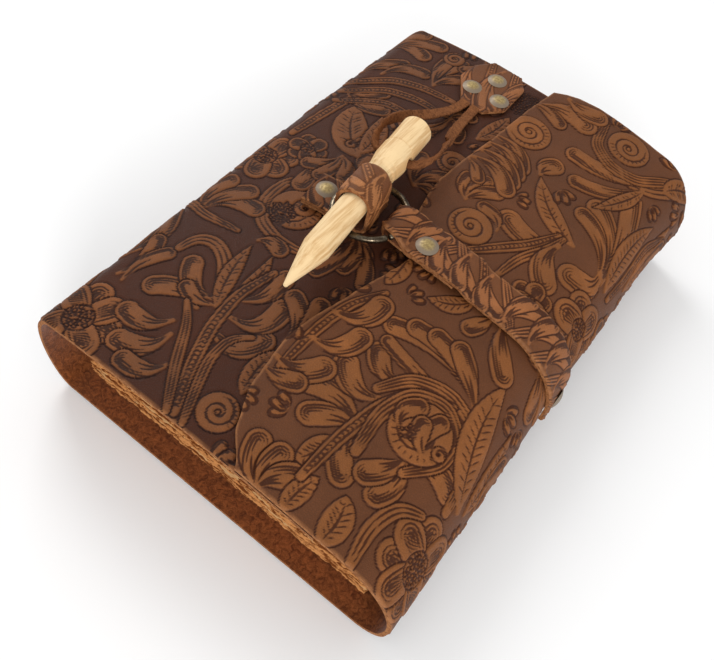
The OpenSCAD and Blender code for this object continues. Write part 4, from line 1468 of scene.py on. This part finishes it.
def make_ring() -> bpy.types.Object:
    """The ring of round wire, with its cut beside the strap."""
    n = 120
    a = np.linspace(RING_CUT_AT + RING_GAP / 2, RING_CUT_AT + 2 * math.pi - RING_GAP / 2, n)
    flat = np.stack([RING_C[0] + RING_R * np.cos(a), RING_C[1] + RING_R * np.sin(a)], 1)
    z = RING_LOW + (flat[:, 0] - RING_C[0] + RING_R) * math.tan(RING_TILT)
    middle = np.c_[flat, z]
    b = np.linspace(0, 2 * np.pi, 25)[:-1]
    out = np.stack([np.cos(a), np.sin(a), 0 * a], 1)
    ends = np.ones(n)
    ends[[0, -1]] = 0.82
    r = WIRE / 2 * ends[:, None, None]
    up = np.array([0, 0, 1.0])
    rings = middle[:, None] + out[:, None] * np.cos(b)[None, :, None] * r + up * np.sin(b)[None, :, None] * r
    obj = tube("ring_wire", middle, rings)
    wear(obj, "antique_bronze", Look.BRONZE)
    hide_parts("ring")
    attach(obj, "ring")
    return obj


def make_thread() -> bpy.types.Object:
    """The long stitches, pulled into the leather of the spine."""
    points, faces = [], []
    turn = np.linspace(0, 2 * np.pi, 9)[:-1]
    along = np.linspace(-1, 1, STITCH_STATIONS)
    for n in range(SECTIONS):
        z = FIRST_SECTION_Z + (n + 0.5) * SECTION_STEP
        share = np.clip((z - BOOK_H / 2) / (BOOK_H / 2 - 1), -0.97, 0.97)
        x = SPINE_X - 9 * math.sqrt(1 - share**2)
        for k in range(4):
            y = (2 * k - 3) * STITCH + np.linspace(-0.5, 0.5, STITCH_STATIONS) * STITCH
            sunk = 0.35 + 0.6 * (np.abs(along) ** 12)
            r = 0.36 * (1 - 0.6 * np.abs(along) ** 20)
            x_here = x - fullness(np.full(STITCH_STATIONS, x), y, z)
            ring = np.stack(
                [
                    x_here[:, None] + sunk[:, None] + r[:, None] * np.cos(turn), y[:, None] + 0 * turn,
                    z + r[:, None] * np.sin(turn)
                ],
                -1
            )
            base = sum(len(p) for p in points)
            index = base + np.arange(STITCH_STATIONS * 8).reshape(STITCH_STATIONS, 8)
            faces += grid_faces(np.concatenate([index, index[:, :1]], 1), False).tolist()
            faces += [index[0, ::-1].tolist(), index[-1].tolist()]
            points.append(ring.reshape(-1, 3))
    obj = new_mesh("stitches", np.concatenate(points), faces)
    wear(obj, "thread", Look.THREAD)
    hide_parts("sewing_thread")
    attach(obj, "back")
    return obj


@dataclass
class Hardware:
    """The rivets and the peg, which come from model.glb."""

    looks: dict = field(default_factory=dict)

    def build(self) -> "Hardware":
        """Says which finish each CAD node wears."""
        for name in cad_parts:
            if "rivet" in name:
                self.looks[name] = (Look.BRASS, "antique_brass")
        self.looks["peg"] = (Look.WOOD, "raw_wood")
        return self

    def dress(self) -> "Hardware":
        """Gives each node its finish."""
        for name, (look, slot) in self.looks.items():
            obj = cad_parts[name]
            wear(obj, slot, look)
            bpy.ops.object.select_all(action="DESELECT")
            bpy.context.view_layer.objects.active = obj
            obj.select_set(True)
            bpy.ops.object.shade_smooth_by_angle(angle=SMOOTH_UNDER)
            obj.select_set(False)
            LOG.info("%s wears %s", name, look.name)
        return self


# ---------------------------------------------------------------- stage, light and camera


def set_stage() -> None:
    """A plain pale floor."""
    bpy.ops.mesh.primitive_plane_add(size=FLOOR_SIZE, location=(0, 0, FLOOR_Z))
    floor = bpy.context.object
    floor.name = "floor"
    material = bpy.data.materials.new("floor")
    material.use_nodes = True
    shader = material.node_tree.nodes["Principled BSDF"]
    shader.inputs["Base Color"].default_value = (FLOOR_GREY, FLOOR_GREY, FLOOR_GREY, 1)
    shader.inputs["Roughness"].default_value = FLOOR_ROUGH
    floor.data.materials.append(material)


def area_light(
    name: str, place: tuple, aim: tuple, size: float, power: float, tint: tuple = (1, 1, 1)
) -> None:
    """A square soft light that points at aim."""
    light = bpy.data.lights.new(name, "AREA")
    light.size, light.energy, light.color = size, power, tint
    obj = bpy.data.objects.new(name, light)
    obj.location = place
    d = np.array(aim, float) - np.array(place)
    yaw, pitch = math.atan2(-d[0], d[1]), math.atan2(math.hypot(d[0], d[1]), -d[2])
    obj.rotation_euler = (pitch, 0, yaw)
    bpy.context.scene.collection.objects.link(obj)


def set_light() -> None:
    """Even light from all round, a broad light behind on the left and one in front on the right."""
    world = bpy.data.worlds.new("studio")
    world.use_nodes = True
    sky = world.node_tree.nodes["Background"]
    sky.inputs["Color"].default_value = (1, 1, 1, 1)
    sky.inputs["Strength"].default_value = SKY
    bpy.context.scene.world = world
    area_light("window", (-0.6, 0.35, 0.6), (0, 0, 0.03), 0.4, 3.0)
    area_light("front", (0.6, -0.75, 0.36), (0, -0.02, 0.03), 0.4, 5.0)
    view = bpy.context.scene.view_settings
    view.view_transform, view.look, view.exposure = "Standard", "None", 0.0


def set_camera() -> None:
    """The camera, above the near end on the right."""
    azimuth, height, roll = (math.radians(v) for v in (CAMERA_TURN, CAMERA_DOWN, CAMERA_ROLL))
    ahead = np.array(
        [math.cos(height) * math.sin(azimuth), math.cos(height) * math.cos(azimuth), -math.sin(height)]
    )
    right = np.cross(ahead, [0, 0, 1.0])
    right /= np.linalg.norm(right)
    up = np.cross(right, ahead)
    x, y = right * math.cos(roll) + up * math.sin(roll), up * math.cos(roll) - right * math.sin(roll)
    data = bpy.data.cameras.new("camera")
    data.sensor_width, data.lens, data.clip_start = SENSOR, LENS, CLIP_START
    obj = bpy.data.objects.new("camera", data)
    bpy.context.scene.collection.objects.link(obj)
    obj.matrix_world = Matrix([(x[k], y[k], -ahead[k], CAMERA_AT[k]) for k in range(3)] + [(0, 0, 0, 1)])
    bpy.context.scene.camera = obj


def main() -> None:
    """Builds the notebook, its stage and its light."""
    logging.basicConfig(level=logging.INFO, format="%(name)s: %(message)s")
    make_sheets()
    for number in range(1, SECTIONS + 1):
        Section(number).build().dress()
    make_strap()
    make_loop()
    make_patch()
    make_thong()
    make_ring()
    make_thread()
    Hardware().build().dress()
    set_stage()
    set_light()
    set_camera()


if __name__ == "__main__":
    main()
